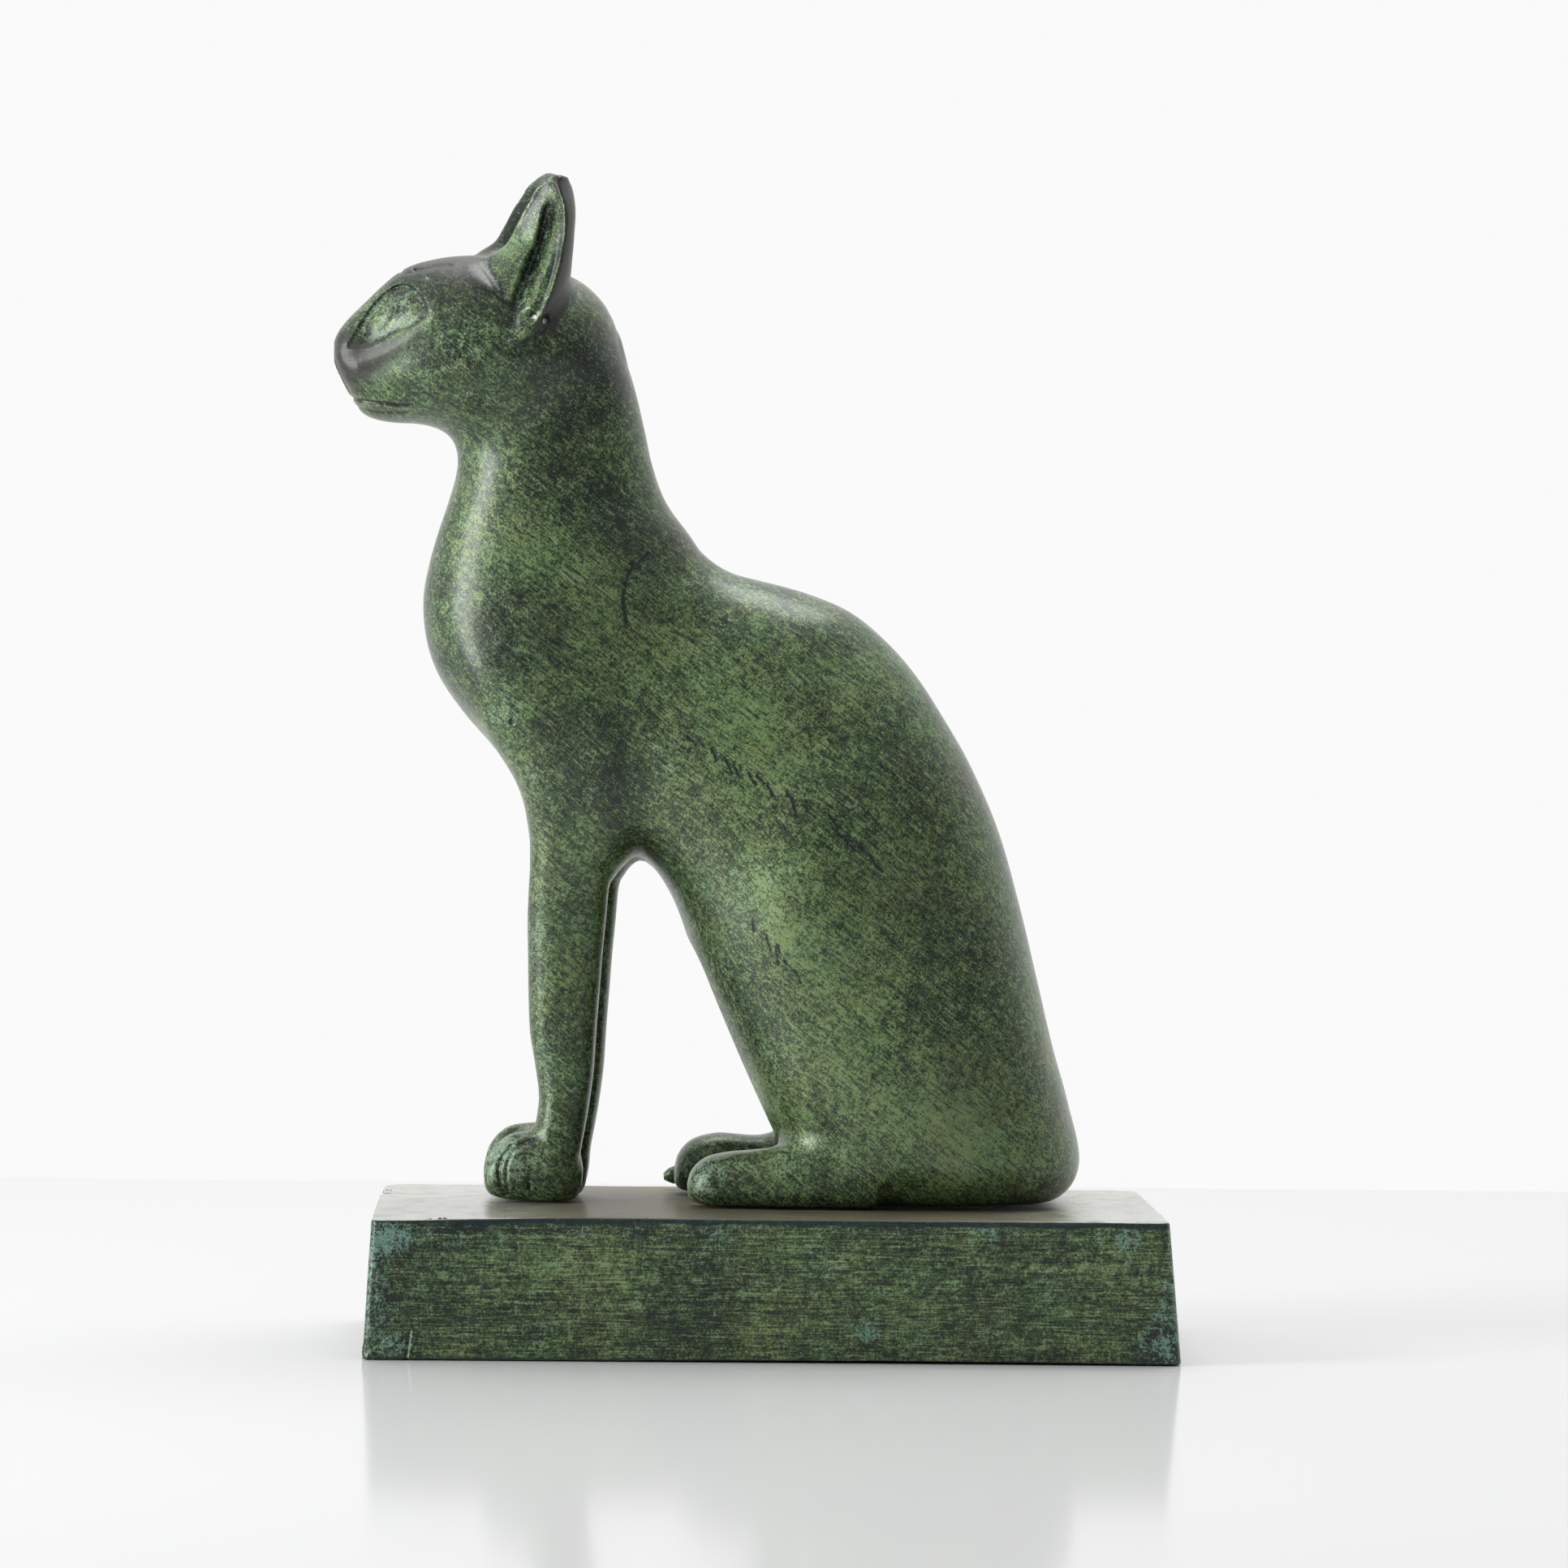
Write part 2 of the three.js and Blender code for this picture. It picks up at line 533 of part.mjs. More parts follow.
function sampleField() {
  const values = new Float32Array(nx * ny * nz);
  const reach = blockCells * cell * Math.sqrt(3) / 2 * blockMargin;
  const at = (b, k) => low[k] + b * cell;
  const half = (blockCells - 1) / 2;
  for (let bz = 0; bz < nz; bz += blockCells) {
    for (let by = 0; by < ny; by += blockCells) {
      for (let bx = 0; bx < nx; bx += blockCells) {
        const rough = catDistance(at(bx + half, 0), at(by + half, 1), at(bz + half, 2));
        const touched = Math.abs(rough) < reach;
        for (let k = bz; k < Math.min(bz + blockCells, nz); k += 1) {
          for (let j = by; j < Math.min(by + blockCells, ny); j += 1) {
            for (let i = bx; i < Math.min(bx + blockCells, nx); i += 1) {
              values[i + nx * (j + ny * k)] = touched
                ? catDistance(at(i, 0), at(j, 1), at(k, 2))
                : rough;
            }
          }
        }
      }
    }
  }
  return values;
}

// Where two sheets of the surface come so close that they would meet in an edge or a corner
// of the net, the grid point between them that is nearest to the surface is filled
function closePinches(values) {
  const [stepX, stepY, stepZ] = [1, nx, nx * ny];
  const squares = [[stepX, stepY], [stepY, stepZ], [stepZ, stepX]];
  const diagonals = [[0, stepX + stepY + stepZ], [stepX, stepY + stepZ],
    [stepY, stepX + stepZ], [stepZ, stepX + stepY]];
  const corners = diagonals.flat();
  const filled = -0.05;
  const fill = (base, a, b) => {
    const nearest = values[base + a] < values[base + b] ? a : b;
    values[base + nearest] = filled;
  };
  let changed = true;
  while (changed) {
    changed = false;
    for (let base = 0; base < values.length - stepX - stepY - stepZ; base += 1) {
      const inside = values[base] < 0;
      for (const [b, c] of squares) {
        if (values[base + b + c] < 0 !== inside) continue;
        if (values[base + b] < 0 === inside || values[base + c] < 0 === inside) continue;
        if (inside) fill(base, b, c);
        else fill(base, 0, b + c);
        changed = true;
      }
      const count = corners.reduce((sum, corner) => sum + (values[base + corner] < 0 ? 1 : 0), 0);
      if (count !== 2 && count !== 6) continue;
      for (const [a, b] of diagonals) {
        const outside = count === 6;
        if (values[base + a] < 0 === outside || values[base + b] < 0 === outside) continue;
        const others = corners.filter((corner) => corner !== a && corner !== b);
        if (outside) fill(base, a, b);
        else fill(base, others[0], others[1]);
        changed = true;
      }
    }
  }
}

// One vertex in each cell that the surface crosses, one quad on each edge that it crosses
function netOverField(values) {
  const steps = [1, nx, nx * ny];
  const vertexOf = new Map();
  const positions = [];
  const corners = [];
  const vertexIn = (base) => {
    if (vertexOf.has(base)) return vertexOf.get(base);
    const cellAt = [base % nx, Math.floor(base / nx) % ny, Math.floor(base / (nx * ny))];
    const sum = [0, 0, 0];
    let crossings = 0;
    for (let axis = 0; axis < 3; axis += 1) {
      const b = (axis + 1) % 3;
      const c = (axis + 2) % 3;
      for (let corner = 0; corner < 4; corner += 1) {
        const offsetB = corner & 1;
        const offsetC = corner >> 1;
        const from = base + offsetB * steps[b] + offsetC * steps[c];
        const inner = values[from];
        const outer = values[from + steps[axis]];
        if (inner < 0 === outer < 0) continue;
        sum[axis] += inner / (inner - outer);
        sum[b] += offsetB;
        sum[c] += offsetC;
        crossings += 1;
      }
    }
    for (let k = 0; k < 3; k += 1) positions.push(low[k] + (cellAt[k] + sum[k] / crossings) * cell);
    vertexOf.set(base, positions.length / 3 - 1);
    return positions.length / 3 - 1;
  };
  for (let k = 1; k < nz - 1; k += 1) {
    for (let j = 1; j < ny - 1; j += 1) {
      for (let i = 1; i < nx - 1; i += 1) {
        const base = i + nx * (j + ny * k);
        const inside = values[base] < 0;
        for (let axis = 0; axis < 3; axis += 1) {
          if (inside === values[base + steps[axis]] < 0) continue;
          const b = steps[(axis + 1) % 3];
          const c = steps[(axis + 2) % 3];
          const round = [base, base - b, base - b - c, base - c].map(vertexIn);
          if (!inside) round.reverse();
          corners.push(round[0], round[1], round[2], round[0], round[2], round[3]);
        }
      }
    }
  }
  return { positions: Float64Array.from(positions), corners: Int32Array.from(corners) };
}

// Each vertex is moved along the field's slope until it lies on the surface
function settleOnSurface(positions, farthest) {
  const step = 0.04;
  for (let n = 0; n < positions.length; n += 3) {
    const [x, y, z] = [positions[n], positions[n + 1], positions[n + 2]];
    const value = catDistance(x, y, z);
    const slopeX = (catDistance(x + step, y, z) - value) / step;
    const slopeY = (catDistance(x, y + step, z) - value) / step;
    const slopeZ = (catDistance(x, y, z + step) - value) / step;
    const steepness = Math.max(slopeX ** 2 + slopeY ** 2 + slopeZ ** 2, 0.3);
    const move = clamp(value, -farthest, farthest) / steepness;
    positions[n] -= slopeX * move;
    positions[n + 1] -= slopeY * move;
    positions[n + 2] -= slopeZ * move;
  }
}

// Edges are collapsed, the flattest first, until the wanted number of triangles is left.
// An error form for each vertex holds the planes of the triangles that met in it.
const fewestTriangles = 9000;
const sliverCost = 0.0006;       // cost of an edge's own length, so no slivers grow
const mostTurn = 0.3;            // least cosine between a triangle before and after
const formSize = 10;

function thinOut(positions, corners) {
  const vertexCount = positions.length / 3;
  const forms = new Float64Array(vertexCount * formSize);
  const around = Array.from({ length: vertexCount }, () => []);
  const version = new Uint32Array(vertexCount);
  const seenBy = new Int32Array(vertexCount).fill(-1);
  let left = corners.length / 3;
  for (let t = 0; t < left; t += 1) {
    const [i, j, k] = [3 * corners[3 * t], 3 * corners[3 * t + 1], 3 * corners[3 * t + 2]];
    const [px, py, pz] = [positions[i], positions[i + 1], positions[i + 2]];
    const [ux, uy, uz] = [positions[j] - px, positions[j + 1] - py, positions[j + 2] - pz];
    const [wx, wy, wz] = [positions[k] - px, positions[k + 1] - py, positions[k + 2] - pz];
    const [mx, my, mz] = [uy * wz - uz * wy, uz * wx - ux * wz, ux * wy - uy * wx];
    const size = Math.hypot(mx, my, mz) || 1;
    const [a, b, c] = [mx / size, my / size, mz / size];
    const d = -(a * px + b * py + c * pz);
    const plane = [a * a, a * b, a * c, a * d, b * b, b * c, b * d, c * c, c * d, d * d];
    for (const v of [i / 3, j / 3, k / 3]) {
      around[v].push(t);
      for (let n = 0; n < formSize; n += 1) forms[formSize * v + n] += plane[n] * size / 6;
    }
  }
  const q = new Float64Array(formSize);
  const errorAt = (x, y, z) => q[0] * x * x + 2 * q[1] * x * y + 2 * q[2] * x * z + 2 * q[3] * x
    + q[4] * y * y + 2 * q[5] * y * z + 2 * q[6] * y + q[7] * z * z + 2 * q[8] * z + q[9];
  const plan = (a, b) => {
    for (let n = 0; n < formSize; n += 1) q[n] = forms[formSize * a + n] + forms[formSize * b + n];
    const [ax, ay, az] = [positions[3 * a], positions[3 * a + 1], positions[3 * a + 2]];
    const [bx, by, bz] = [positions[3 * b], positions[3 * b + 1], positions[3 * b + 2]];
    const length2 = (ax - bx) ** 2 + (ay - by) ** 2 + (az - bz) ** 2;
    const [mx, my, mz] = [(ax + bx) / 2, (ay + by) / 2, (az + bz) / 2];
    let place = [mx, my, mz];
    let error = errorAt(mx, my, mz);
    const [c0, c1, c2] = [q[4] * q[7] - q[5] * q[5], q[2] * q[5] - q[1] * q[7], q[1] * q[5] - q[2] * q[4]];
    const determinant = q[0] * c0 + q[1] * c1 + q[2] * c2;
    if (determinant > 1e-3 * ((q[0] + q[4] + q[7]) / 3) ** 3) {
      const c4 = q[0] * q[7] - q[2] * q[2];
      const c5 = q[1] * q[2] - q[0] * q[5];
      const c8 = q[0] * q[4] - q[1] * q[1];
      const x = -(c0 * q[3] + c1 * q[6] + c2 * q[8]) / determinant;
      const y = -(c1 * q[3] + c4 * q[6] + c5 * q[8]) / determinant;
      const z = -(c2 * q[3] + c5 * q[6] + c8 * q[8]) / determinant;
      if ((x - mx) ** 2 + (y - my) ** 2 + (z - mz) ** 2 < 4 * length2) {
        place = [x, y, z];
        error = errorAt(x, y, z);
      }
    } else {
      for (const [x, y, z] of [[ax, ay, az], [bx, by, bz]]) {
        const there = errorAt(x, y, z);
        if (there < error) [error, place] = [there, [x, y, z]];
      }
    }
    const cost = Math.max(error, 0) + sliverCost * length2;
    return { a, b, cost, place, stamp: version[a] + version[b] };
  };
  const heap = [];
  const push = (item) => {
    let n = heap.push(item) - 1;
    while (n > 0 && heap[(n - 1) >> 1].cost > item.cost) {
      heap[n] = heap[(n - 1) >> 1];
      n = (n - 1) >> 1;
    }
    heap[n] = item;
  };
  const pop = () => {
    const top = heap[0];
    const last = heap.pop();
    let n = 0;
    while (heap.length > 2 * n + 1) {
      let child = 2 * n + 1;
      if (child + 1 < heap.length && heap[child + 1].cost < heap[child].cost) child += 1;
      if (heap[child].cost >= last.cost) break;
      heap[n] = heap[child];
      n = child;
    }
    if (heap.length) heap[n] = last;
    return top;
  };
  let visit = 0;
  const neighbours = (v) => {
    const found = [];
    visit += 1;
    seenBy[v] = visit;
    for (const t of around[v]) {
      for (let n = 3 * t; n < 3 * t + 3; n += 1) {
        const w = corners[n];
        if (seenBy[w] !== visit) found.push(w);
        seenBy[w] = visit;
      }
    }
    return found;
  };
  const turnsOver = (v, other, [x, y, z]) => around[v].some((t) => {
    const own = corners.indexOf(v, 3 * t) - 3 * t;
    const second = corners[3 * t + (own + 1) % 3];
    const third = corners[3 * t + (own + 2) % 3];
    if (second === other || third === other) return false;
    const [ox, oy, oz] = [positions[3 * v], positions[3 * v + 1], positions[3 * v + 2]];
    const [sx, sy, sz] = [positions[3 * second], positions[3 * second + 1], positions[3 * second + 2]];
    const [tx, ty, tz] = [positions[3 * third], positions[3 * third + 1], positions[3 * third + 2]];
    const beforeX = (sy - oy) * (tz - oz) - (sz - oz) * (ty - oy);
    const beforeY = (sz - oz) * (tx - ox) - (sx - ox) * (tz - oz);
    const beforeZ = (sx - ox) * (ty - oy) - (sy - oy) * (tx - ox);
    const afterX = (sy - y) * (tz - z) - (sz - z) * (ty - y);
    const afterY = (sz - z) * (tx - x) - (sx - x) * (tz - z);
    const afterZ = (sx - x) * (ty - y) - (sy - y) * (tx - x);
    const sizes = Math.sqrt((beforeX ** 2 + beforeY ** 2 + beforeZ ** 2)
      * (afterX ** 2 + afterY ** 2 + afterZ ** 2));
    return beforeX * afterX + beforeY * afterY + beforeZ * afterZ < mostTurn * sizes;
  });
  for (let v = 0; v < vertexCount; v += 1) {
    for (const w of neighbours(v)) if (v < w) push(plan(v, w));
  }
  while (left > fewestTriangles && heap.length) {
    const { a, b, place, stamp } = pop();
    if (!around[a].length || !around[b].length || stamp !== version[a] + version[b]) continue;
    const beside = neighbours(a);
    if (seenBy[b] !== visit) continue;
    const shared = neighbours(b).filter((v) => beside.includes(v));
    if (shared.length !== 2 || turnsOver(a, b, place) || turnsOver(b, a, place)) continue;
    positions.set(place, 3 * a);
    for (let n = 0; n < formSize; n += 1) forms[formSize * a + n] += forms[formSize * b + n];
    for (const t of around[b]) {
      const own = corners.indexOf(b, 3 * t);
      if (around[a].includes(t)) {
        for (const v of [a, ...shared]) around[v] = around[v].filter((other) => other !== t);
        left -= 1;
      } else {
        corners[own] = a;
        around[a].push(t);
      }
    }
    around[b] = [];
    version[a] += 1;
    version[b] += 1;
    for (const v of neighbours(a)) push(plan(a, v));
  }
  return around;
}

// The body's own vertices and triangles, without the ones that were collapsed
function bodyFrom(positions, corners, around) {
  const places = [];
  const newPlace = new Int32Array(around.length).fill(-1);
  const kept = new Set();
  around.forEach((triangles, v) => {
    if (!triangles.length) return;
    newPlace[v] = places.length / 3;
    places.push(...positions.subarray(3 * v, 3 * v + 3));
    triangles.forEach((t) => kept.add(t));
  });
  const index = [];
  kept.forEach((t) => {
    for (let n = 3 * t; n < 3 * t + 3; n += 1) index.push(newPlace[corners[n]]);
  });
  return { places: Float64Array.from(places), index };
}

function makeCat() {
  const values = sampleField();
  closePinches(values);
  const { positions, corners } = netOverField(values);
  settleOnSurface(positions, cell / 2);
  const around = thinOut(positions, corners);
  const { places, index } = bodyFrom(positions, corners, around);
  settleOnSurface(places, cell / 4);
  const soleDepth = 0.12;
  const sized = places.map((value, n) => (n % 3 === 2 && value < soleDepth ? 0 : value * scale));
  const geometry = new THREE.BufferGeometry();
  geometry.setAttribute('position', new THREE.Float32BufferAttribute(sized, 3));
  geometry.setIndex(index);
  geometry.computeVertexNormals();
  return geometry;
}

// Plinth: a box open below. Its rounded rectangles run from the roof of the cavity down to
// the foot and up outside to the worn upper edge.
function roundedRectangle(front, rear, halfDepth, radius, height) {
  const arcSteps = 4;
  const points = [];
  [[1, 1], [-1, 1], [-1, -1], [1, -1]].forEach(([sx, sy], corner) => {
    for (let n = 0; n <= arcSteps; n += 1) {
      const turn = (corner + n / arcSteps) * Math.PI / 2;
      points.push([
        (sx > 0 ? rear - radius : front + radius) + radius * Math.cos(turn),
        sy * (halfDepth - radius) + radius * Math.sin(turn),
        height,
      ]);
    }
  });
  return points;
}

function stackOfRings(rings) {
  const positions = rings.flat(2);
  const around = rings[0].length;
  const index = [];
  for (let ring = 0; ring < rings.length - 1; ring += 1) {
    for (let n = 0; n < around; n += 1) {
      const a = ring * around + n;
      const b = ring * around + (n + 1) % around;
      index.push(a, b, b + around, a, b + around, a + around);
    }
  }
  const top = (rings.length - 1) * around;
  for (let n = 1; n < around - 1; n += 1) {
    index.push(0, n + 1, n);
    index.push(top, top + n, top + n + 1);
  }
  const geometry = new THREE.BufferGeometry();
  geometry.setAttribute('position', new THREE.Float32BufferAttribute(positions, 3));
  geometry.setIndex(index);
  return geometry;
}

const footprintLength = (drawnRumpBack - drawnPawFront) * scale;
const footprintDepth = (drawnTailSide - drawnNearSide) * scale;
const plinthLength = plinthAhead + footprintLength + plinthBehind;
const plinthDepth = plinthNearSide + footprintDepth + plinthTailSide;

function makePlinth() {
  const ring = (height, inset, radius) => {
    const lean = height / plinthHeight;
    return roundedRectangle(
      plinthFrontDraft * lean + inset - plinthLength / 2,
      plinthLength / 2 - plinthRearDraft * lean - inset,
      plinthDepth / 2 - plinthSideDraft * lean - inset,
      radius,
      height,
    );
  };
  const edgeSteps = 3;
  const rings = [
    ring(plinthHeight - plinthRoof, plinthWall, plinthInnerRadius),
    ring(0, plinthWall, plinthInnerRadius),
    ring(0, 0, plinthCornerRadius),
  ];
  for (let n = 0; n <= edgeSteps; n += 1) {
    const turn = n / edgeSteps * Math.PI / 2;
    const height = plinthHeight - plinthEdgeRadius * (1 - Math.sin(turn));
    const inset = plinthEdgeRadius * (1 - Math.cos(turn));
    rings.push(ring(height, inset, plinthCornerRadius - inset));
  }
  return stackOfRings(rings);
}

function bronze(color, roughness) {
  return new THREE.MeshStandardMaterial({ color, roughness, metalness: 0.6 });
}

const plinth = new THREE.Mesh(makePlinth(), bronze(plinthGreen, 0.5));
plinth.name = 'plinth';

const cat = new THREE.Mesh(makeCat(), bronze(patinaGreen, 0.45));
cat.name = 'cat';
cat.position.set(
  plinthAhead - plinthLength / 2 - drawnPawFront * scale,
  plinthNearSide - plinthDepth / 2 - drawnNearSide * scale,
  plinthHeight + seatGap,
);

const figure = new THREE.Group();
figure.name = 'bastet_cat';
figure.add(plinth, cat);

const middle = new THREE.Box3().setFromObject(figure).getCenter(new THREE.Vector3());
for (const piece of figure.children) {
  piece.position.x -= middle.x;
  piece.position.y -= middle.y;
}

export default figure;
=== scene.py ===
import math

import bpy
import numpy as np
from mathutils import Matrix, Vector


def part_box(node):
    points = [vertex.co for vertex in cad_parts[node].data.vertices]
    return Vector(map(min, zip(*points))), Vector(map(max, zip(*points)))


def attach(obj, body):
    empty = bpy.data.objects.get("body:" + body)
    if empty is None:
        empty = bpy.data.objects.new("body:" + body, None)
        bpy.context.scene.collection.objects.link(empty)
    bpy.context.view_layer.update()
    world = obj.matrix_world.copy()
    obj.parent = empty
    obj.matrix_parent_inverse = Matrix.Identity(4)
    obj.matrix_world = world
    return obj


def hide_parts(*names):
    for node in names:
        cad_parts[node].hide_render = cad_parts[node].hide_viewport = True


# A seated bronze cat with a green patina, standing on a low bronze plinth.
# The world is in metres, +Z up, and the cat faces -X.
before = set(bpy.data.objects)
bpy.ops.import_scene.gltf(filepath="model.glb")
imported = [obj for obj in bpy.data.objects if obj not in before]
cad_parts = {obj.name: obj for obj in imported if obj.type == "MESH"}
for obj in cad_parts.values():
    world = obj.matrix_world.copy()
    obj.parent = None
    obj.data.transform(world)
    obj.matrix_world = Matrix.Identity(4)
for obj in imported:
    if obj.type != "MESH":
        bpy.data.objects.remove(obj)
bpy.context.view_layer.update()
MM = 0.001


# The plinth: a low block cast in bronze and open below, with leaning sides and worn edges.
# Its corners were rounded by hand, each a little differently. It stands on the table.
plinth_low, plinth_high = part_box("plinth")
plinth_size = plinth_high - plinth_low
plinth_middle = (plinth_low + plinth_high) / 2
front_lean = 1.8 * MM     # of the plinth's end ahead of the cat, from foot to top
rear_lean = 3.2 * MM
side_lean = 1 * MM
plinth_corners = {(-1, -1): 2 * MM, (1, -1): 2.4 * MM, (1, 1): 5 * MM, (-1, 1): 7 * MM}
plinth_top_round = 0.8 * MM
plinth_foot_round = 0.35 * MM
plinth_wall = 4.5 * MM
plinth_roof = 4 * MM
plinth_foot = np.array((plinth_middle.x, plinth_middle.y, plinth_low.z))
plinth_grid = 2.4 * MM


def start_piece(name):
    """The object just added becomes a piece of that name, at the origin, unturned and unscaled."""
    piece = bpy.context.object
    bpy.ops.object.transform_apply(location=True, rotation=True, scale=True)
    piece.name = name
    piece.data.name = name
    return piece


def select_only(piece, kind, chosen):
    """In edit mode, only the chosen edges or polygons are selected."""
    mesh = piece.data
    for part in (mesh.vertices, mesh.edges, mesh.polygons):
        part.foreach_set("select", np.zeros(len(part), bool))
    getattr(mesh, kind).foreach_set("select", chosen)
    bpy.context.tool_settings.mesh_select_mode = (False, kind == "edges", kind == "polygons")
    bpy.ops.object.mode_set(mode="EDIT")


def pick_faces(piece, wanted):
    """Only the faces whose normal answers to wanted() are selected."""
    bpy.ops.object.mode_set(mode="OBJECT")
    select_only(piece, "polygons", [wanted(face.normal) for face in piece.data.polygons])


def pick_edges(piece, wanted):
    """Only the edges whose two ends answer to wanted() are selected."""
    bpy.ops.object.mode_set(mode="OBJECT")
    corners = piece.data.vertices
    ends = ([corners[n].co for n in edge.vertices] for edge in piece.data.edges)
    select_only(piece, "edges", [wanted(a, b) for a, b in ends])


def vectors_of(mesh, kind="co"):
    """The places or normals of a mesh's vertices, one row each."""
    rows = np.empty(len(mesh.vertices) * 3, np.float32)
    mesh.vertices.foreach_get(kind, rows)
    return rows.reshape(-1, 3).astype(float)


def move_to(mesh, places):
    """The mesh's vertices are set at these places."""
    mesh.vertices.foreach_set("co", places.astype(np.float32).ravel())
    mesh.update()


def ramp(value, low, high):
    """0 below low, 1 above high, smooth between."""
    t = np.clip((value - low) / (high - low), 0, 1)
    return t * t * (3 - 2 * t)


def split_long_edges(piece, longest, passes, settle=None):
    """Edges longer than longest(middle) are cut in half, pass after pass. After each pass
    settle(mesh, count) can move the vertices that follow the first count."""
    mesh = piece.data
    for _ in range(passes):
        places = vectors_of(mesh)
        ends = np.empty(len(mesh.edges) * 2, np.int32)
        mesh.edges.foreach_get("vertices", ends)
        a, b = places[ends[0::2]], places[ends[1::2]]
        too_long = np.linalg.norm(a - b, axis=1) > longest((a + b) / 2)
        if not too_long.any():
            break
        select_only(piece, "edges", too_long)
        bpy.ops.mesh.subdivide(number_cuts=1)
        bpy.ops.mesh.select_all(action="SELECT")
        bpy.ops.mesh.quads_convert_to_tris(quad_method="SHORTEST_DIAGONAL")
        bpy.ops.object.mode_set(mode="OBJECT")
        if settle:
            settle(mesh, len(places))


def draw_in(share, wall):
    """The picked face is drawn in as far as the sides have leant at that share of their height."""
    scale_x = 1 - (front_lean + rear_lean) * share / (plinth_size.x - 2 * wall)
    scale_y = 1 - 2 * side_lean * share / (plinth_size.y - 2 * wall)
    bpy.ops.transform.resize(value=(scale_x, scale_y, 1), center_override=tuple(plinth_foot))
    bpy.ops.transform.translate(value=((front_lean - rear_lean) / 2 * share, 0, 0))


bpy.ops.mesh.primitive_cube_add(size=1, location=plinth_middle)
bpy.context.object.scale = plinth_size
plinth = start_piece("plinth_casting")
pick_faces(plinth, lambda normal: normal.z > 0.9)
draw_in(1, 0)
for (sx, sy), radius in plinth_corners.items():
    pick_edges(plinth, lambda a, b: abs(a.z - b.z) > 0.9 * plinth_size.z
               and sx * (a.x - plinth_middle.x) > 0.9 * plinth_size.x / 2
               and sy * (a.y - plinth_middle.y) > 0.9 * plinth_size.y / 2
               and abs(a.x - b.x) < 5 * MM)
    bpy.ops.mesh.bevel(offset=radius, segments=5, affect="EDGES")
pick_edges(plinth, lambda a, b: min(a.z, b.z) > plinth_high.z - 0.01 * MM)
bpy.ops.mesh.bevel(offset=plinth_top_round, segments=4, affect="EDGES")
pick_edges(plinth, lambda a, b: max(a.z, b.z) < plinth_low.z + 0.01 * MM)
bpy.ops.mesh.bevel(offset=plinth_foot_round, segments=2, affect="EDGES")
pick_faces(plinth, lambda normal: normal.z < -0.99)
bpy.ops.mesh.inset(thickness=plinth_wall)
cavity_height = plinth_size.z - plinth_roof
bpy.ops.mesh.extrude_region_move(TRANSFORM_OT_translate={"value": (0, 0, cavity_height)})
draw_in(cavity_height / plinth_size.z, plinth_wall)
for axis in range(3):
    direction = [0, 0, 0]
    direction[axis] = 1
    count = round(plinth_size[axis] / plinth_grid)
    for n in range(1, count):
        bpy.ops.mesh.select_all(action="SELECT")
        cut = Vector(plinth_low)
        cut[axis] += plinth_size[axis] * n / count
        bpy.ops.mesh.bisect(plane_co=cut, plane_no=direction)
bpy.ops.object.mode_set(mode="OBJECT")

# Dents and cuts on the plinth, in mm from the middle of its foot: where, how deep and wide
plinth_marks = [
    ((-88.2, -48, 7), (-89.1, -48, 0.2), 0.5, 0.5),
    ((-99, -48, 2), (-92.1, -48, 7), 0.4, 0.7),
    ((-31.7, -48, 33), (-33.4, -48, 30.6), 0.55, 0.8),
    ((-80.6, -48, 34), (-84, -48, 30.8), 0.3, 1.2),
    ((61, -48, 20.5), (62.5, -48, 19), 0.3, 0.9),
    ((99, -30, 31), (99, -22, 33), 0.4, 1),
    ((-98.5, 20, 34.5), (-98.5, 26, 34), 0.4, 1.2),
    ((40, 48, 34.5), (46, 48, 34), 0.35, 1),
    ((-30, 48, 8), (-22, 48, 11), 0.25, 0.7),
]


def distance_to_line(places, a, b):
    """How far each place is from the line, and how far along it the nearest point lies."""
    along = b - a
    share = np.clip((places - a) @ along / (along @ along), 0, 1)
    return np.linalg.norm(places - a - share[:, None] * along, axis=1), share


def longest_on_plinth(middles):
    """How long an edge of the plinth may be: short where there is a mark to carve."""
    longest = np.full(len(middles), 9 * MM)
    for start, end, _, width in plinth_marks:
        away, _ = distance_to_line(middles - plinth_foot, np.array(start) * MM, np.array(end) * MM)
        longest[away < (2.5 * width + 0.8) * MM] = 0.5 * width * MM
    return longest


def waves(places, sizes, seed):
    """A gentle unevenness between -1 and 1, from a few waves that cross each other."""
    draw = np.random.default_rng(seed)
    total = np.zeros(len(places))
    for size in sizes:
        direction = draw.normal(size=3)
        direction *= 2 * np.pi / size / np.linalg.norm(direction)
        total += np.sin(places @ direction + draw.uniform(0, 2 * np.pi))
    return total / len(sizes)


split_long_edges(plinth, longest_on_plinth, 6)
mesh = plinth.data
places = vectors_of(mesh)
normals = vectors_of(mesh, "normal")
own = places - plinth_foot
risen = own[:, 2] / plinth_size.z
front_wall = own[:, 0] + plinth_size.x / 2 - front_lean * risen
rear_wall = plinth_size.x / 2 - rear_lean * risen - own[:, 0]
side_wall = plinth_size.y / 2 - side_lean * risen - np.abs(own[:, 1])
from_wall = np.minimum(np.minimum(front_wall, rear_wall), side_wall)
outer = np.ones(len(places))
outer[(from_wall > 0.5 * plinth_wall) & (own[:, 2] < plinth_size.z - 0.5 * plinth_roof)] = 0
uneven = 0.11 * (1 + waves(own, [0.061, 0.047, 0.034, 0.083, 0.029], 3)) * MM
uneven += 0.05 * (1 + waves(own, [0.013, 0.017, 0.011, 0.0094, 0.021], 5)) * MM
sunk = uneven * outer
for start, end, depth, width in plinth_marks:
    away, _ = distance_to_line(own, np.array(start) * MM, np.array(end) * MM)
    sunk += depth * MM * np.exp(-(away / (width * MM)) ** 2) * outer
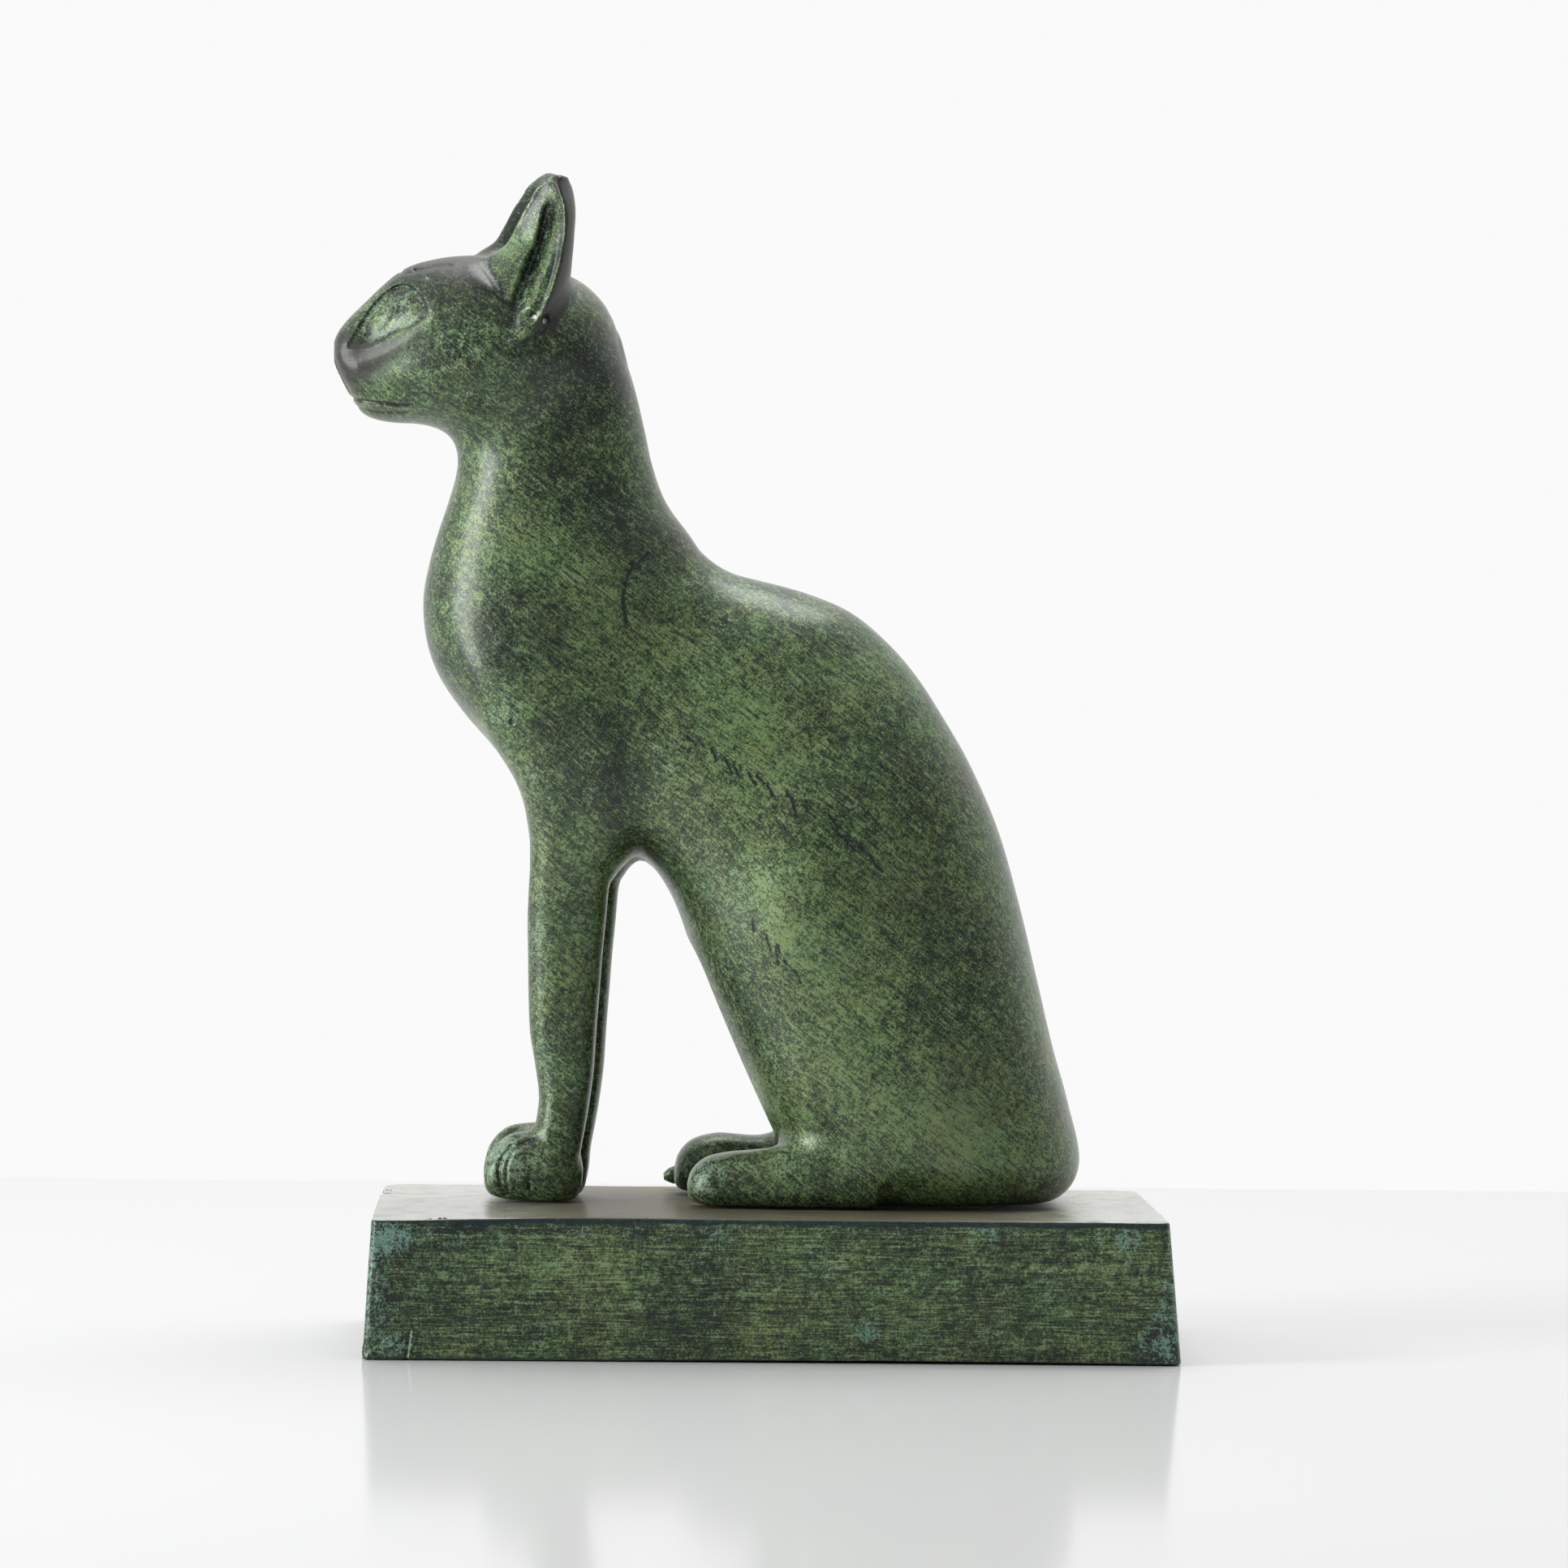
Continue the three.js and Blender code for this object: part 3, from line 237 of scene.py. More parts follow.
places -= normals * sunk[:, None]
low_corner = ramp(-own[:, 0], 0.045, 0.098) * ramp(-own[:, 1], -0.01, 0.045)
places[:, 2] -= 0.9 * MM * low_corner * ramp(own[:, 2], 0.02, 0.035) * outer
lifted = ramp(own[:, 0], -0.06, 0.03) * ramp(-own[:, 1], 0.038, 0.047)
lifted *= 1 - 0.6 * ramp(own[:, 0], 0.06, 0.095)
places[:, 2] += 0.45 * MM * lifted * (1 - ramp(own[:, 2], 0, 0.004))
move_to(mesh, np.clip(places, plinth_low, plinth_high))
bpy.ops.object.shade_smooth_by_angle(angle=math.radians(50))


def painted(patches, x, z):
    """The sum of soft round patches: where in x and z, how wide, and how much."""
    total = np.zeros(len(x))
    for px, pz, width, amount in patches:
        total += amount * np.exp(-((x - px) ** 2 + (z - pz) ** 2) / width ** 2)
    return total


def keep_values(mesh, name, values):
    """Keeps one value for each vertex as an attribute for the material."""
    mesh.attributes.new(name, "FLOAT", "POINT").data.foreach_set("value", values.astype(np.float32))


# Verdigris and darker patches on the plinth's sides, in millimetres from the middle of its foot
plinth_blooms = [
    (-95, 31, 5, 0.6), (-90, 30, 4, 0.55), (-98, 24, 4, 0.5), (-97, 12, 4, 0.4), (-91, 4, 4, 0.6),
    (24, 7.7, 2.6, 0.9), (21, 8.5, 2, 0.6), (86, 30, 4, 0.7), (93, 6, 5, 0.6), (98, 16, 4, 0.5),
    (52, 31, 4, 0.4), (-14, 29, 5, 0.4), (-44, 28, 4, 0.3), (70, 20, 5, 0.3), (-58, 9, 5, 0.3),
    (12, 24, 4, 0.3), (-80, 25, 3, 0.5),
]
plinth_shades = [
    (-78, 33, 3.2, 0.8), (-71, 34, 3, 0.7), (-63, 33.4, 3, 0.7), (-55, 34, 3, 0.6),
    (-47, 33.4, 3, 0.7), (-39, 33.6, 3, 0.8), (-33, 31.6, 2.6, 1), (-98, 18, 5, 0.3),
    (60, 12, 22, 0.2), (95, 4, 9, 0.5), (-20, 14, 12, 0.2), (30, 34, 5, 0.5),
]
for name, patches in (("Bloom", plinth_blooms), ("Shade", plinth_shades)):
    keep_values(mesh, name, painted(patches, own[:, 0] / MM, own[:, 2] / MM))


def feed(tree, node, inputs):
    """Each input of the node gets a number, a colour or another node's socket."""
    for name, value in inputs.items():
        if isinstance(value, bpy.types.NodeSocket):
            tree.links.new(value, node.inputs[name])
        else:
            node.inputs[name].default_value = value


def add(tree, kind, inputs=None, **settings):
    """A new shader node with these settings and inputs."""
    made = tree.nodes.new("ShaderNode" + kind)
    for name, value in settings.items():
        setattr(made, name, value)
    feed(tree, made, inputs or {})
    return made


def reckon(tree, operation, a, b=0, c=0):
    return add(tree, "Math", {0: a, 1: b, 2: c}, operation=operation).outputs[0]


def times(tree, a, b):
    return reckon(tree, "MULTIPLY", a, b)


def ease(tree, value, low, high):
    """The same ramp in a node tree."""
    return add(tree, "MapRange", {"Value": value, "From Min": low, "From Max": high},
               interpolation_type="SMOOTHSTEP").outputs["Result"]


def blend(tree, factor, a, b, kind="MIX"):
    return add(tree, "Mix", {0: factor, 6: a, 7: b}, data_type="RGBA", blend_type=kind).outputs[2]


def cover(tree, color, mask, share, paint):
    """The colour, covered with another one as far as the mask and the share say."""
    return blend(tree, times(tree, mask, share), color, paint)


def noise(tree, place, scale, detail=3, rough=0.6):
    return add(tree, "TexNoise", {"Vector": place, "Scale": scale, "Detail": detail,
                                  "Roughness": rough}).outputs["Fac"]


def kept_values(tree, name):
    return add(tree, "Attribute", attribute_name=name).outputs["Fac"]


def patina_group():
    """The patina on brushed bronze: dark ground, green film, leaf-green flecks, verdigris."""
    group = bpy.data.node_groups.new("patina", "ShaderNodeTree")
    for way, kind, names in (("INPUT", "Vector", "Place Strokes Crossing"),
                             ("INPUT", "Float", "Bloom Shade Lift Rust"),
                             ("INPUT", "Color", "Deep Green Leaf Verdigris"),
                             ("OUTPUT", "Color", "Color"), ("OUTPUT", "Float", "Roughness Height")):
        for name in names.split():
            group.interface.new_socket(name, in_out=way, socket_type="NodeSocket" + kind)
    given = group.nodes.new("NodeGroupInput").outputs
    place = given["Place"]
    cloud = noise(group, place, 34, 4)
    patch = noise(group, place, 190, 5, 0.7)
    mottle = noise(group, place, 620, 4, 0.75)
    grain = noise(group, place, 1700, 3, 0.8)
    dust = noise(group, place, 3100, 2, 0.7)
    streak = noise(group, given["Strokes"], 1, 3, 0.65)
    cross = noise(group, given["Crossing"], 1, 3, 0.65)

    def summed(terms, total):
        for value, weight in terms:
            total = reckon(group, "ADD", total,
                           reckon(group, "MULTIPLY_ADD", value, weight, -weight / 2))
        return total

    # How much green shows through: from nearly black to leaf green
    green = summed([(cloud, 1.4), (patch, 2), (mottle, 2.6), (grain, 3.8), (streak, 2.6), (cross, 1.6)],
                   reckon(group, "SUBTRACT", given["Lift"], given["Shade"]))
    color = blend(group, ease(group, green, -0.65, 0.05), given["Deep"], given["Green"])
    color = blend(group, ease(group, green, 0.05, 0.8), color, given["Leaf"])
    # The film is emerald in some places and brownish in others
    tint = blend(group, ease(group, noise(group, place, 75, 3), 0.38, 0.62),
                 (0.88, 1.02, 0.9, 1), (1.06, 1, 0.9, 1))
    color = blend(group, 1, color, tint, "MULTIPLY")
    pale = reckon(group, "MAXIMUM",
                  times(group, ease(group, streak, 0.58, 0.68), ease(group, grain, 0.45, 0.6)),
                  times(group, ease(group, dust, 0.58, 0.7), ease(group, green, -0.3, 0.5)))
    color = cover(group, color, pale, 0.75, (0.32, 0.38, 0.2, 1))
    # Long dark scratches, in bunches
    scratched = ease(group, noise(group, given["Strokes"], 0.42, 2, 0.5), 0.56, 0.61)
    scratched = times(group, scratched, ease(group, patch, 0.48, 0.56))
    color = cover(group, color, scratched, 0.7, (0.006, 0.012, 0.014, 1))
    bloom = ease(group, summed([(patch, 2), (mottle, 2.6), (grain, 3.2)], given["Bloom"]), 0.35, 1.15)
    color = cover(group, color, bloom, 0.8, given["Verdigris"])
    rusty = ease(group, summed([(mottle, 1.2), (grain, 1.2)], given["Rust"]), 0.1, 0.9)
    color = cover(group, color, rusty, 0.75, (0.024, 0.021, 0.017, 1))
    pores = times(group, ease(group, reckon(group, "SUBTRACT", 1, dust), 0.57, 0.7), 0.85)
    color = blend(group, pores, color, (0.008, 0.011, 0.009, 1))
    roughness = reckon(group, "ADD", summed([(grain, 0.45), (cloud, 0.25), (streak, 0.2)], 0.32),
                       times(group, reckon(group, "ADD", bloom, rusty), 0.13))
    height = summed([(patch, 0.8), (mottle, 0.5), (grain, 0.5), (streak, 0.55), (cross, 0.4),
                     (bloom, 0.2)], times(group, pores, -0.4))
    feed(group, group.nodes.new("NodeGroupOutput"),
         {"Color": color, "Roughness": roughness, "Height": height})
    return group


patina = patina_group()


def new_finish(name):
    finish = bpy.data.materials.new(name)
    finish.use_nodes = True
    return finish, finish.node_tree, finish.node_tree.nodes["Principled BSDF"]


def wax(tree, shader, color, roughness, height):
    """The shader that both pieces end in: metal under patina and wax, with a fine relief."""
    relief = add(tree, "Bump", {"Height": height, "Strength": 0.4, "Distance": 0.00025})
    feed(tree, shader, {
        "Base Color": color, "Roughness": roughness, "Metallic": 0.25, "Coat Weight": 0.25,
        "Coat Roughness": 0.2, "Normal": relief.outputs["Normal"]})


plinth_finish, tree, shader = new_finish("brushed_green_bronze")
place = add(tree, "TexCoord").outputs["Object"]
lines = add(tree, "Mapping", {"Vector": place, "Scale": (90, 500, 2300)}).outputs[0]
slant = add(tree, "Mapping", {"Vector": place, "Rotation": (0, 0.3, 0),
                              "Scale": (260, 500, 2600)}).outputs[0]
normal = add(tree, "NewGeometry").outputs["Normal"]
facing_up = add(tree, "SeparateXYZ", {0: normal}).outputs["Z"]
top = ease(tree, facing_up, 0.6, 0.95)
xyz = add(tree, "SeparateXYZ", {0: place})
near_top = ease(tree, xyz.outputs["Z"], 0.026, 0.0345)
from_middle = reckon(tree, "SUBTRACT", xyz.outputs["X"], plinth_middle.x)
near_end = ease(tree, reckon(tree, "ABSOLUTE", from_middle), 0.088, 0.1)
edge_bloom = reckon(tree, "MAXIMUM", times(tree, near_top, 0.25), times(tree, near_end, 0.35))
edge_bloom = reckon(tree, "ADD", edge_bloom, kept_values(tree, "Bloom"))
edge_bloom = times(tree, edge_bloom, reckon(tree, "SUBTRACT", 1, top))
made = add(tree, "Group", {
    "Place": place, "Strokes": lines, "Crossing": slant, "Bloom": edge_bloom,
    "Shade": kept_values(tree, "Shade"), "Deep": (0.008, 0.015, 0.012, 1),
    "Green": (0.058, 0.095, 0.039, 1), "Leaf": (0.21, 0.3, 0.12, 1),
    "Verdigris": (0.2, 0.36, 0.3, 1)}, node_tree=patina)
# A dark teal line runs under the top's edge, and a painted shadow in the same dark colour runs along
# the foot, where the plinth meets the table
wavy = reckon(tree, "MULTIPLY_ADD", noise(tree, place, 160, 3), 0.002, xyz.outputs["Z"])
rim_line_and_foot_shadow = times(tree, ease(tree, wavy, 0.0338, 0.0346),
            reckon(tree, "SUBTRACT", 1, ease(tree, facing_up, 0.9, 0.99)))
above_foot_shadow = ease(tree, xyz.outputs["Z"], 0.0003, 0.0011)
rim_line_and_foot_shadow = reckon(tree, "MAXIMUM", rim_line_and_foot_shadow, reckon(tree, "SUBTRACT", 1, above_foot_shadow))
color = cover(tree, made.outputs["Color"], rim_line_and_foot_shadow, 0.9, (0.005, 0.02, 0.024, 1))
# The top is worn pale and shiny at its ends, dusty brown between the paws
worn = reckon(tree, "MAXIMUM", ease(tree, times(tree, from_middle, -1), 0.045, 0.075),
              ease(tree, from_middle, 0.05, 0.09))
dusty = blend(tree, noise(tree, place, 60, 4, 0.7), (0.06, 0.075, 0.04, 1), (0.2, 0.155, 0.1, 1))
dusty = cover(tree, dusty, worn, ease(tree, noise(tree, place, 140, 5, 0.7), 0.3, 0.55),
              (0.42, 0.43, 0.36, 1))
dulled = times(tree, top, reckon(tree, "MULTIPLY_ADD", worn, -0.62, 0.4))
roughness = reckon(tree, "MAXIMUM", reckon(tree, "ADD", made.outputs["Roughness"], dulled), 0.12)
wax(tree, shader, cover(tree, color, top, 0.85, dusty), roughness, made.outputs["Height"])
plinth.data.materials.append(plinth_finish)
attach(plinth, "root")
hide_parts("plinth")


# The cat: cast in bronze in one with its ears, paws and tail, then brushed, patinated green
# and waxed. The casting is drawn in millimetres as swept forms that melt into each other,
# from its soles at z = 0, and it stands on the plinth on its paws and rump.
cat_place = np.array([plinth_middle.x / MM - 0.3, 6.9, 35.3])
haunch_lean = math.radians(25)


def smooth_min(a, b, blend):
    near = np.maximum(blend - np.abs(a - b), 0) / blend
    return np.minimum(a, b) - near * near * blend / 4


def smooth_max(a, b, blend):
    return -smooth_min(-a, -b, blend)


def curves_through(rows):
    """Smooth curves through the rows of a table, looked up by its first column."""
    rows = np.array(rows, float)
    places = rows[:, 0]
    before = np.maximum(np.arange(len(rows)) - 1, 0)
    after = np.minimum(np.arange(len(rows)) + 1, len(rows) - 1)
    slopes = (rows[after] - rows[before]) / (places[after] - places[before])[:, None]

    def look_up(place):
        place = np.clip(place, places[0], places[-1])
        i = np.clip(np.searchsorted(places, place) - 1, 0, len(rows) - 2)
        span = (places[i + 1] - places[i])[:, None]
        p = (place - places[i])[:, None] / span
        values = (1 + 2 * p) * (1 - p) ** 2 * rows[i] + p * p * (3 - 2 * p) * rows[i + 1]
        values += (p * (1 - p) ** 2 * slopes[i] - p * p * (1 - p) * slopes[i + 1]) * span
        return values[:, 1:].T

    look_up.start, look_up.end = places[0], places[-1]
    return look_up


def swept(curves, along, across, side):
    """How far a point is outside a body swept along an axis. Each row of its table is a
    section: place, low and high limit, half width, widest level, squareness and, where
    it isn't 0, its middle."""
    step = 0.5
    place = np.clip(along, curves.start, curves.end)
    behind = np.minimum(place, curves.end - step)

    def ratio_of(section):
        low, high, half, widest, square, *middle = section
        reach = np.where(across < widest, widest - low, high - widest)
        u, v = np.abs(across - widest) / reach, np.abs(side - sum(middle)) / half
        return (u ** square + v ** square) ** (1 / square), u, v, reach

    here = curves(behind)
    ratio, u, v, reach = ratio_of(here)
    ratio = np.maximum(ratio, 1e-4)
    slope_across = (u / ratio) ** (here[4] - 1) / reach
    slope_side = (v / ratio) ** (here[4] - 1) / here[2]
    gain = (ratio_of(curves(behind + step))[0] - ratio) / step
    slope_along = gain / np.maximum(ratio, 1)
    slope_round = np.maximum(np.hypot(slope_across, slope_side), 1e-6)
    calm = slope_along * slope_round / np.hypot(slope_along, slope_round)
    slope_along = slope_along + (calm - slope_along) * ramp(ratio, 1.1, 1.8)
    ratio = ratio + gain * (place - behind) + np.maximum(gain * (along - place), 0)
    distance = (ratio - 1) / np.hypot(slope_round, slope_along)
    return np.maximum(distance, np.maximum(along - curves.end, curves.start - along))


# Haunches and back, swept up an axis that leans forward
haunch = curves_through([
    (-45, 12, 62, 27, 38, 2.5), (-24, 11, 75.4, 31, 40, 2.5), (-9, 9.5, 79, 33.2, 41, 2.5),
    (6, 8, 81.4, 34.6, 41, 2.4), (23, 7.6, 84.8, 35, 42, 2.4), (42, 7.6, 88.5, 34.6, 43, 2.3),
    (61, 8.2, 91.3, 33.4, 45, 2.3), (79, 9.6, 91.6, 31.6, 47, 2.3), (91, 7.6, 90.5, 30, 47, 2.3),
    (104, 2, 88.6, 28, 46, 2.3), (115, -2, 85.4, 26, 44, 2.2), (126, -2, 80, 23.4, 42, 2.2),
    (135, 1, 71.8, 20.4, 40, 2.1), (144, 9, 60.8, 16.4, 38, 2), (150, 18, 52.6, 12.5, 36, 2),
    (156, 26, 44.6, 8, 35, 2),
])
# Chest and neck, swept straight up
chest = curves_through([
    (81, -56, -46, 6, -51, 2), (85, -58.4, -40, 12.5, -50, 2.2), (92, -60, -35, 17, -49, 2.3),
    (100, -61.4, -30, 19.4, -49, 2.3), (106, -64.4, -25, 20.8, -50, 2.2),
    (114, -70.8, -20, 22.6, -52, 2.2), (122, -77.9, -15.6, 24.2, -54, 2.2),
    (131, -84.1, -12.2, 25.2, -56, 2.2), (140, -87.3, -10.4, 25.2, -57, 2.1),
    (150, -88.2, -11.4, 24.2, -57, 2.1), (158, -87, -15.8, 22.6, -56, 2.1),
    (166, -84.9, -20.8, 20.8, -55, 2.1), (175, -82, -27.4, 19.4, -56, 2.1),
    (184, -79.5, -30.9, 18.8, -56, 2.1), (193, -77.4, -33, 18.6, -56, 2.1),
    (202, -75, -35.2, 18.6, -56, 2.1), (209, -72.5, -37.4, 18.2, -56, 2.1),
    (214, -70, -39.8, 16.4, -56, 2), (218, -67, -44, 13, -56, 2), (221, -64, -49.5, 8.4, -57, 2),
    (222.5, -61.5, -54, 4, -58, 2),
])
# One foreleg, from the sole to the shoulder; the other mirrors it
foreleg = curves_through([
    (0, -59.5, -48.2, 6, -53.5, 2.2, 8.4), (6, -59, -46.5, 6.5, -52.5, 2.2, 8.4),
    (12, -58.1, -45.9, 6.7, -52, 2.2, 8.4), (20, -57.1, -44.5, 6.8, -51, 2.2, 8.3),
    (26, -56.5, -43.6, 6.8, -50.5, 2.2, 8.3), (33, -57.4, -42.8, 6.9, -50.5, 2.2, 8.2),
    (42, -58.9, -42.3, 7, -51, 2.2, 8.2), (52, -59.4, -41.6, 7.1, -51, 2.2, 8.3),
    (61, -59.6, -41, 7.2, -51, 2.2, 8.4), (70, -59.8, -40.2, 7.4, -50.5, 2.2, 8.6),
    (78, -59.6, -39.6, 7.7, -50, 2.2, 9), (84, -59.3, -39, 8.1, -50, 2.2, 9.5),
    (92, -59.1, -38, 8.8, -50, 2.2, 10.4), (104, -62.2, -38, 9.8, -52, 2.2, 12.4),
    (118, -69.6, -42, 10.2, -57, 2.2, 14), (132, -75, -48, 9.4, -61, 2.1, 13.6),
    (146, -77, -54, 5, -65, 2, 11),
])
# One forepaw, swept back from the toes
forepaw = curves_through([
    (-71.4, 3.6, 7, 3, 5.5, 2, 8.4), (-70.8, 2.2, 9.8, 4.8, 5.5, 2.1, 8.4),
    (-69.8, 1.2, 12.2, 6, 5.5, 2.2, 8.4), (-67.8, 0.3, 14.6, 6.8, 5.5, 2.3, 8.4),
    (-65, -0.6, 16.4, 7.3, 6, 2.4, 8.4), (-61, -1, 17.1, 7.5, 6, 2.4, 8.4),
    (-57, -1, 17.2, 7.4, 6, 2.4, 8.4), (-52, -1, 16, 6.8, 6, 2.3, 8.4),
    (-49, 0.5, 12, 5, 6, 2.2, 8.4), (-47.3, 2.6, 8, 2.6, 5.5, 2, 8.4),
])
# One hind foot, swept back from the toes
hind_foot = curves_through([
    (-21.9, 2.6, 5.6, 2.8, 4, 2, 18.6), (-21.2, 1.2, 8, 5, 4, 2.1, 18.7),
    (-19.6, 0.2, 10.2, 6.8, 4, 2.2, 18.8), (-17, -0.8, 12, 7.9, 4, 2.3, 19),
    (-12, -1.5, 13.2, 8.6, 4, 2.4, 19.3), (-6, -1.5, 13.8, 8.9, 4, 2.4, 19.6),
    (0, -1.5, 14.6, 9.2, 4, 2.4, 20), (10, -1.5, 17, 9.6, 5, 2.4, 20.6),
    (24, -1.5, 18, 9, 5, 2.4, 21),
])
# Head, swept back from the nose
head = curves_through([
    (-111.2, 209, 214.4, 3, 212, 2), (-110.6, 207.4, 216, 5, 211, 2),
    (-109.2, 204.4, 218.2, 6.8, 209.5, 1.9), (-107.2, 200.9, 220.6, 8.4, 208, 1.85),
    (-105, 197.6, 222.8, 9.8, 206.5, 1.8), (-103, 195.9, 224.8, 11, 206, 1.75),
    (-100, 194.8, 227.8, 12.9, 206, 1.75), (-96, 194.2, 231.3, 15.4, 207, 1.8),
    (-92, 194.1, 233.6, 17.8, 208, 1.9), (-87, 194.1, 235.1, 20.2, 209, 2),
    (-82, 194.4, 236, 22, 210, 2.1), (-76, 195, 236.4, 23.4, 211, 2.2),
    (-70, 196, 236.2, 24, 212, 2.2), (-65, 197.6, 234.4, 22.8, 212, 2.2),
    (-60, 199.4, 232, 20.6, 212, 2.1), (-55, 201.4, 229, 18, 212, 2),
    (-50, 204, 225.6, 14.6, 212, 2), (-46, 206.6, 221.6, 10.4, 212, 2),
    (-43.5, 209, 218.4, 6.6, 212.4, 2), (-42.3, 211, 215.6, 3, 213, 2),
])
# One ear: a deep leaf that opens forward and outward. Each row is a level section: height,
# middle in x and in y, half chord and depth of its back
ear = curves_through([
    (212.5, -73, 21.6, 2, 2.4), (215.4, -71.5, 20.9, 4.4, 5), (218, -69.8, 18.9, 7, 8),
    (221.7, -68, 16.8, 9.5, 11), (226, -67, 15.6, 10.9, 13.2), (231, -66, 14.4, 11.9, 13.2),
    (236.5, -64.2, 14.2, 11.2, 11.2), (239.5, -62.6, 14.2, 9.8, 9.9), (243, -61.4, 14.2, 8.7, 9),
    (246.7, -60.4, 14.2, 7.4, 8.8), (250, -59.7, 14.2, 5.9, 8.5), (253.4, -59.3, 14.3, 4, 8),
    (255.4, -58.2, 14.5, 2.3, 5.6), (256.3, -57.3, 14.6, 1.5, 3.6), (256.8, -57, 14.6, 0.4, 1),
])
ear_angle = math.radians(45)
# The back of the skull is rounded: its middle and its half sizes
skull_middle = np.array([-60, 0, 212])
skull_half = np.array([20.5, 21, 20.8])
# The ear's opening: height, then the place and depth of its front and of its rear edge,
# and how deep its groove goes
scoop = curves_through([
    (214, -69.4, 23.8, -69, 23.9, 0), (215.4, -69.2, 23.6, -68.4, 23.8, 0.2),
    (218, -69.4, 23.2, -64.8, 23.6, 1), (221.7, -69.8, 22, -61.3, 23.2, 1.8),
    (226, -70.2, 19.5, -59.3, 22.8, 2.6), (231, -73, 15, -57.6, 22.2, 3.2),
    (236.5, -73.2, 10, -56.3, 21.2, 3.6), (239.5, -69.8, 8.6, -55.8, 20.5, 3.6),
    (243, -67.5, 8.6, -55.3, 19.8, 3.4), (246.7, -65.6, 9.2, -55.2, 18.9, 2.8),
    (250, -63.8, 10.1, -55.6, 17.8, 1.8), (253.4, -61.9, 11.8, -56.7, 16.6, 0.7),
    (256, -58.8, 13.6, -57.6, 14.6, 0),
])
# The tail lies round the cat's right side: x, y, z and radius along its middle
tail = np.array([
    (69, 2, 9, 7), (69, 15, 7.6, 6.4), (62, 25.5, 6.4, 5.8), (48, 31.2, 5.6, 5.4),
    (30, 33.2, 5.3, 5.2), (10, 33, 5, 4.9), (-8, 32.2, 4.6, 4.4), (-18, 31.4, 4, 3.6),
    (-23.5, 31, 3.2, 2.2), (-26, 30.8, 2.8, 0.8),
], float)


# The knees swell a little, along a line drawn in x and z
knee_line = [(11, 96), (9, 84), (8, 72)]
knee_swell = 2.2


def tail_distance(x, y, z):
    nearest = np.full(len(x), 1e3)
    points = np.stack([x, y, z], 1)
    for start, end in zip(tail[:-1], tail[1:]):
        away, share = distance_to_line(points, start[:3], end[:3])
        nearest = np.minimum(nearest, away - (start[3] + share * (end[3] - start[3])))
    return nearest


def shin_hollow(x, y, z):
    """The hollow between the shins, a rod sunk along the belly."""
    low, high, radius = np.array([5, 2]), np.array([-17, 56]), 7.5
    along = high - low
    share = np.clip(((x - low[0]) * along[0] + (z - low[1]) * along[1]) / (along @ along), -0.3, 1)
    across = np.hypot(x - low[0] - share * along[0], z - low[1] - share * along[1])
    return np.hypot(across, y) - radius


def away_from(line, x, z):
    """Distance to a line of points drawn in x and z."""
    nearest = np.full(len(x), 1e3)
    for (ax, az), (bx, bz) in zip(line[:-1], line[1:]):
        share = ((x - ax) * (bx - ax) + (z - az) * (bz - az)) / ((bx - ax) ** 2 + (bz - az) ** 2)
        share = np.clip(share, 0, 1)
        away = np.hypot(x - ax - share * (bx - ax), z - az - share * (bz - az))
        nearest = np.minimum(nearest, away)
    return nearest


def on_line(line, x, z, width):
    """1 on the line, falling to 0 on both sides of it."""
    return np.exp(-(away_from(line, x, z) / width) ** 2)


def rounded(points, steps=5, closed=False):
    """A smooth line through the points."""
    points = [np.array(p, float) for p in points]
    if closed:
        points = [points[-1], *points, points[0], points[1]]
    else:
        points = [2 * points[0] - points[1], *points, 2 * points[-1] - points[-2]]
    line = []
    for a, b, c, d in zip(points[:-3], points[1:-2], points[2:-1], points[3:]):
        for n in range(steps):
            t = n / steps
            line.append(0.5 * (2 * b + (c - a) * t + (2 * a - 5 * b + 4 * c - d) * t * t
                               + (3 * b - a - 3 * c + d) * t ** 3))
    line.append(points[-2])
    return line


# Carving on the head, drawn in x and z and cut into both cheeks
eye_rim = rounded([
    (-108.2, 213.3), (-104.4, 220.3), (-100.2, 225.7), (-95.6, 229), (-92, 228.3), (-89.4, 225.2),
    (-88.9, 221.4), (-92, 218.6), (-96, 217), (-101, 214.3), (-104.5, 213.2),
], 4, closed=True)
cheek_fold = rounded([
    (-87.4, 224.4), (-88, 219.8), (-92.4, 216.4), (-98.8, 212.4), (-105.4, 208.6),
])
brow_fold = rounded([(-105.6, 221.2), (-101.2, 227), (-96, 230.4), (-91, 229.6), (-87.8, 226)])
mouth_line = rounded([(-107, 200.3), (-103, 199.8), (-99, 199.4), (-95.4, 199), (-92.4, 199)])
lip_line = rounded([(-106, 198.3), (-102, 197.4), (-98, 197.2), (-93.4, 197.3)])
nose_line = rounded([(-111.4, 209.6), (-110.2, 206.6), (-109, 204), (-107.6, 201.4)])
crown_line = rounded([(-93.4, 231.6), (-90.3, 232.4), (-86.6, 233.4), (-83.1, 233.8)])
ear_fold = rounded([
    (-60.2, 249.4), (-61.1, 246.7), (-62, 242.1), (-62.9, 239.1), (-64.8, 236.4), (-66.3, 232.9),
    (-67.3, 230.2), (-68.1, 227.6), (-69.6, 225.9),
])
ear_groove = rounded([
    (-58.8, 248.5), (-59.6, 244.5), (-60.7, 240.6), (-62.7, 235.3), (-64.6, 230.7), (-66.2, 226.9),
    (-67.4, 223.1), (-68.2, 219.3),
])
ear_band = rounded([
    (-57.4, 249), (-56.9, 244.5), (-57.9, 239.9), (-59.2, 236.1), (-60.7, 231.6), (-62.2, 227.7),
    (-63.7, 223.9), (-65.4, 220.9),
])
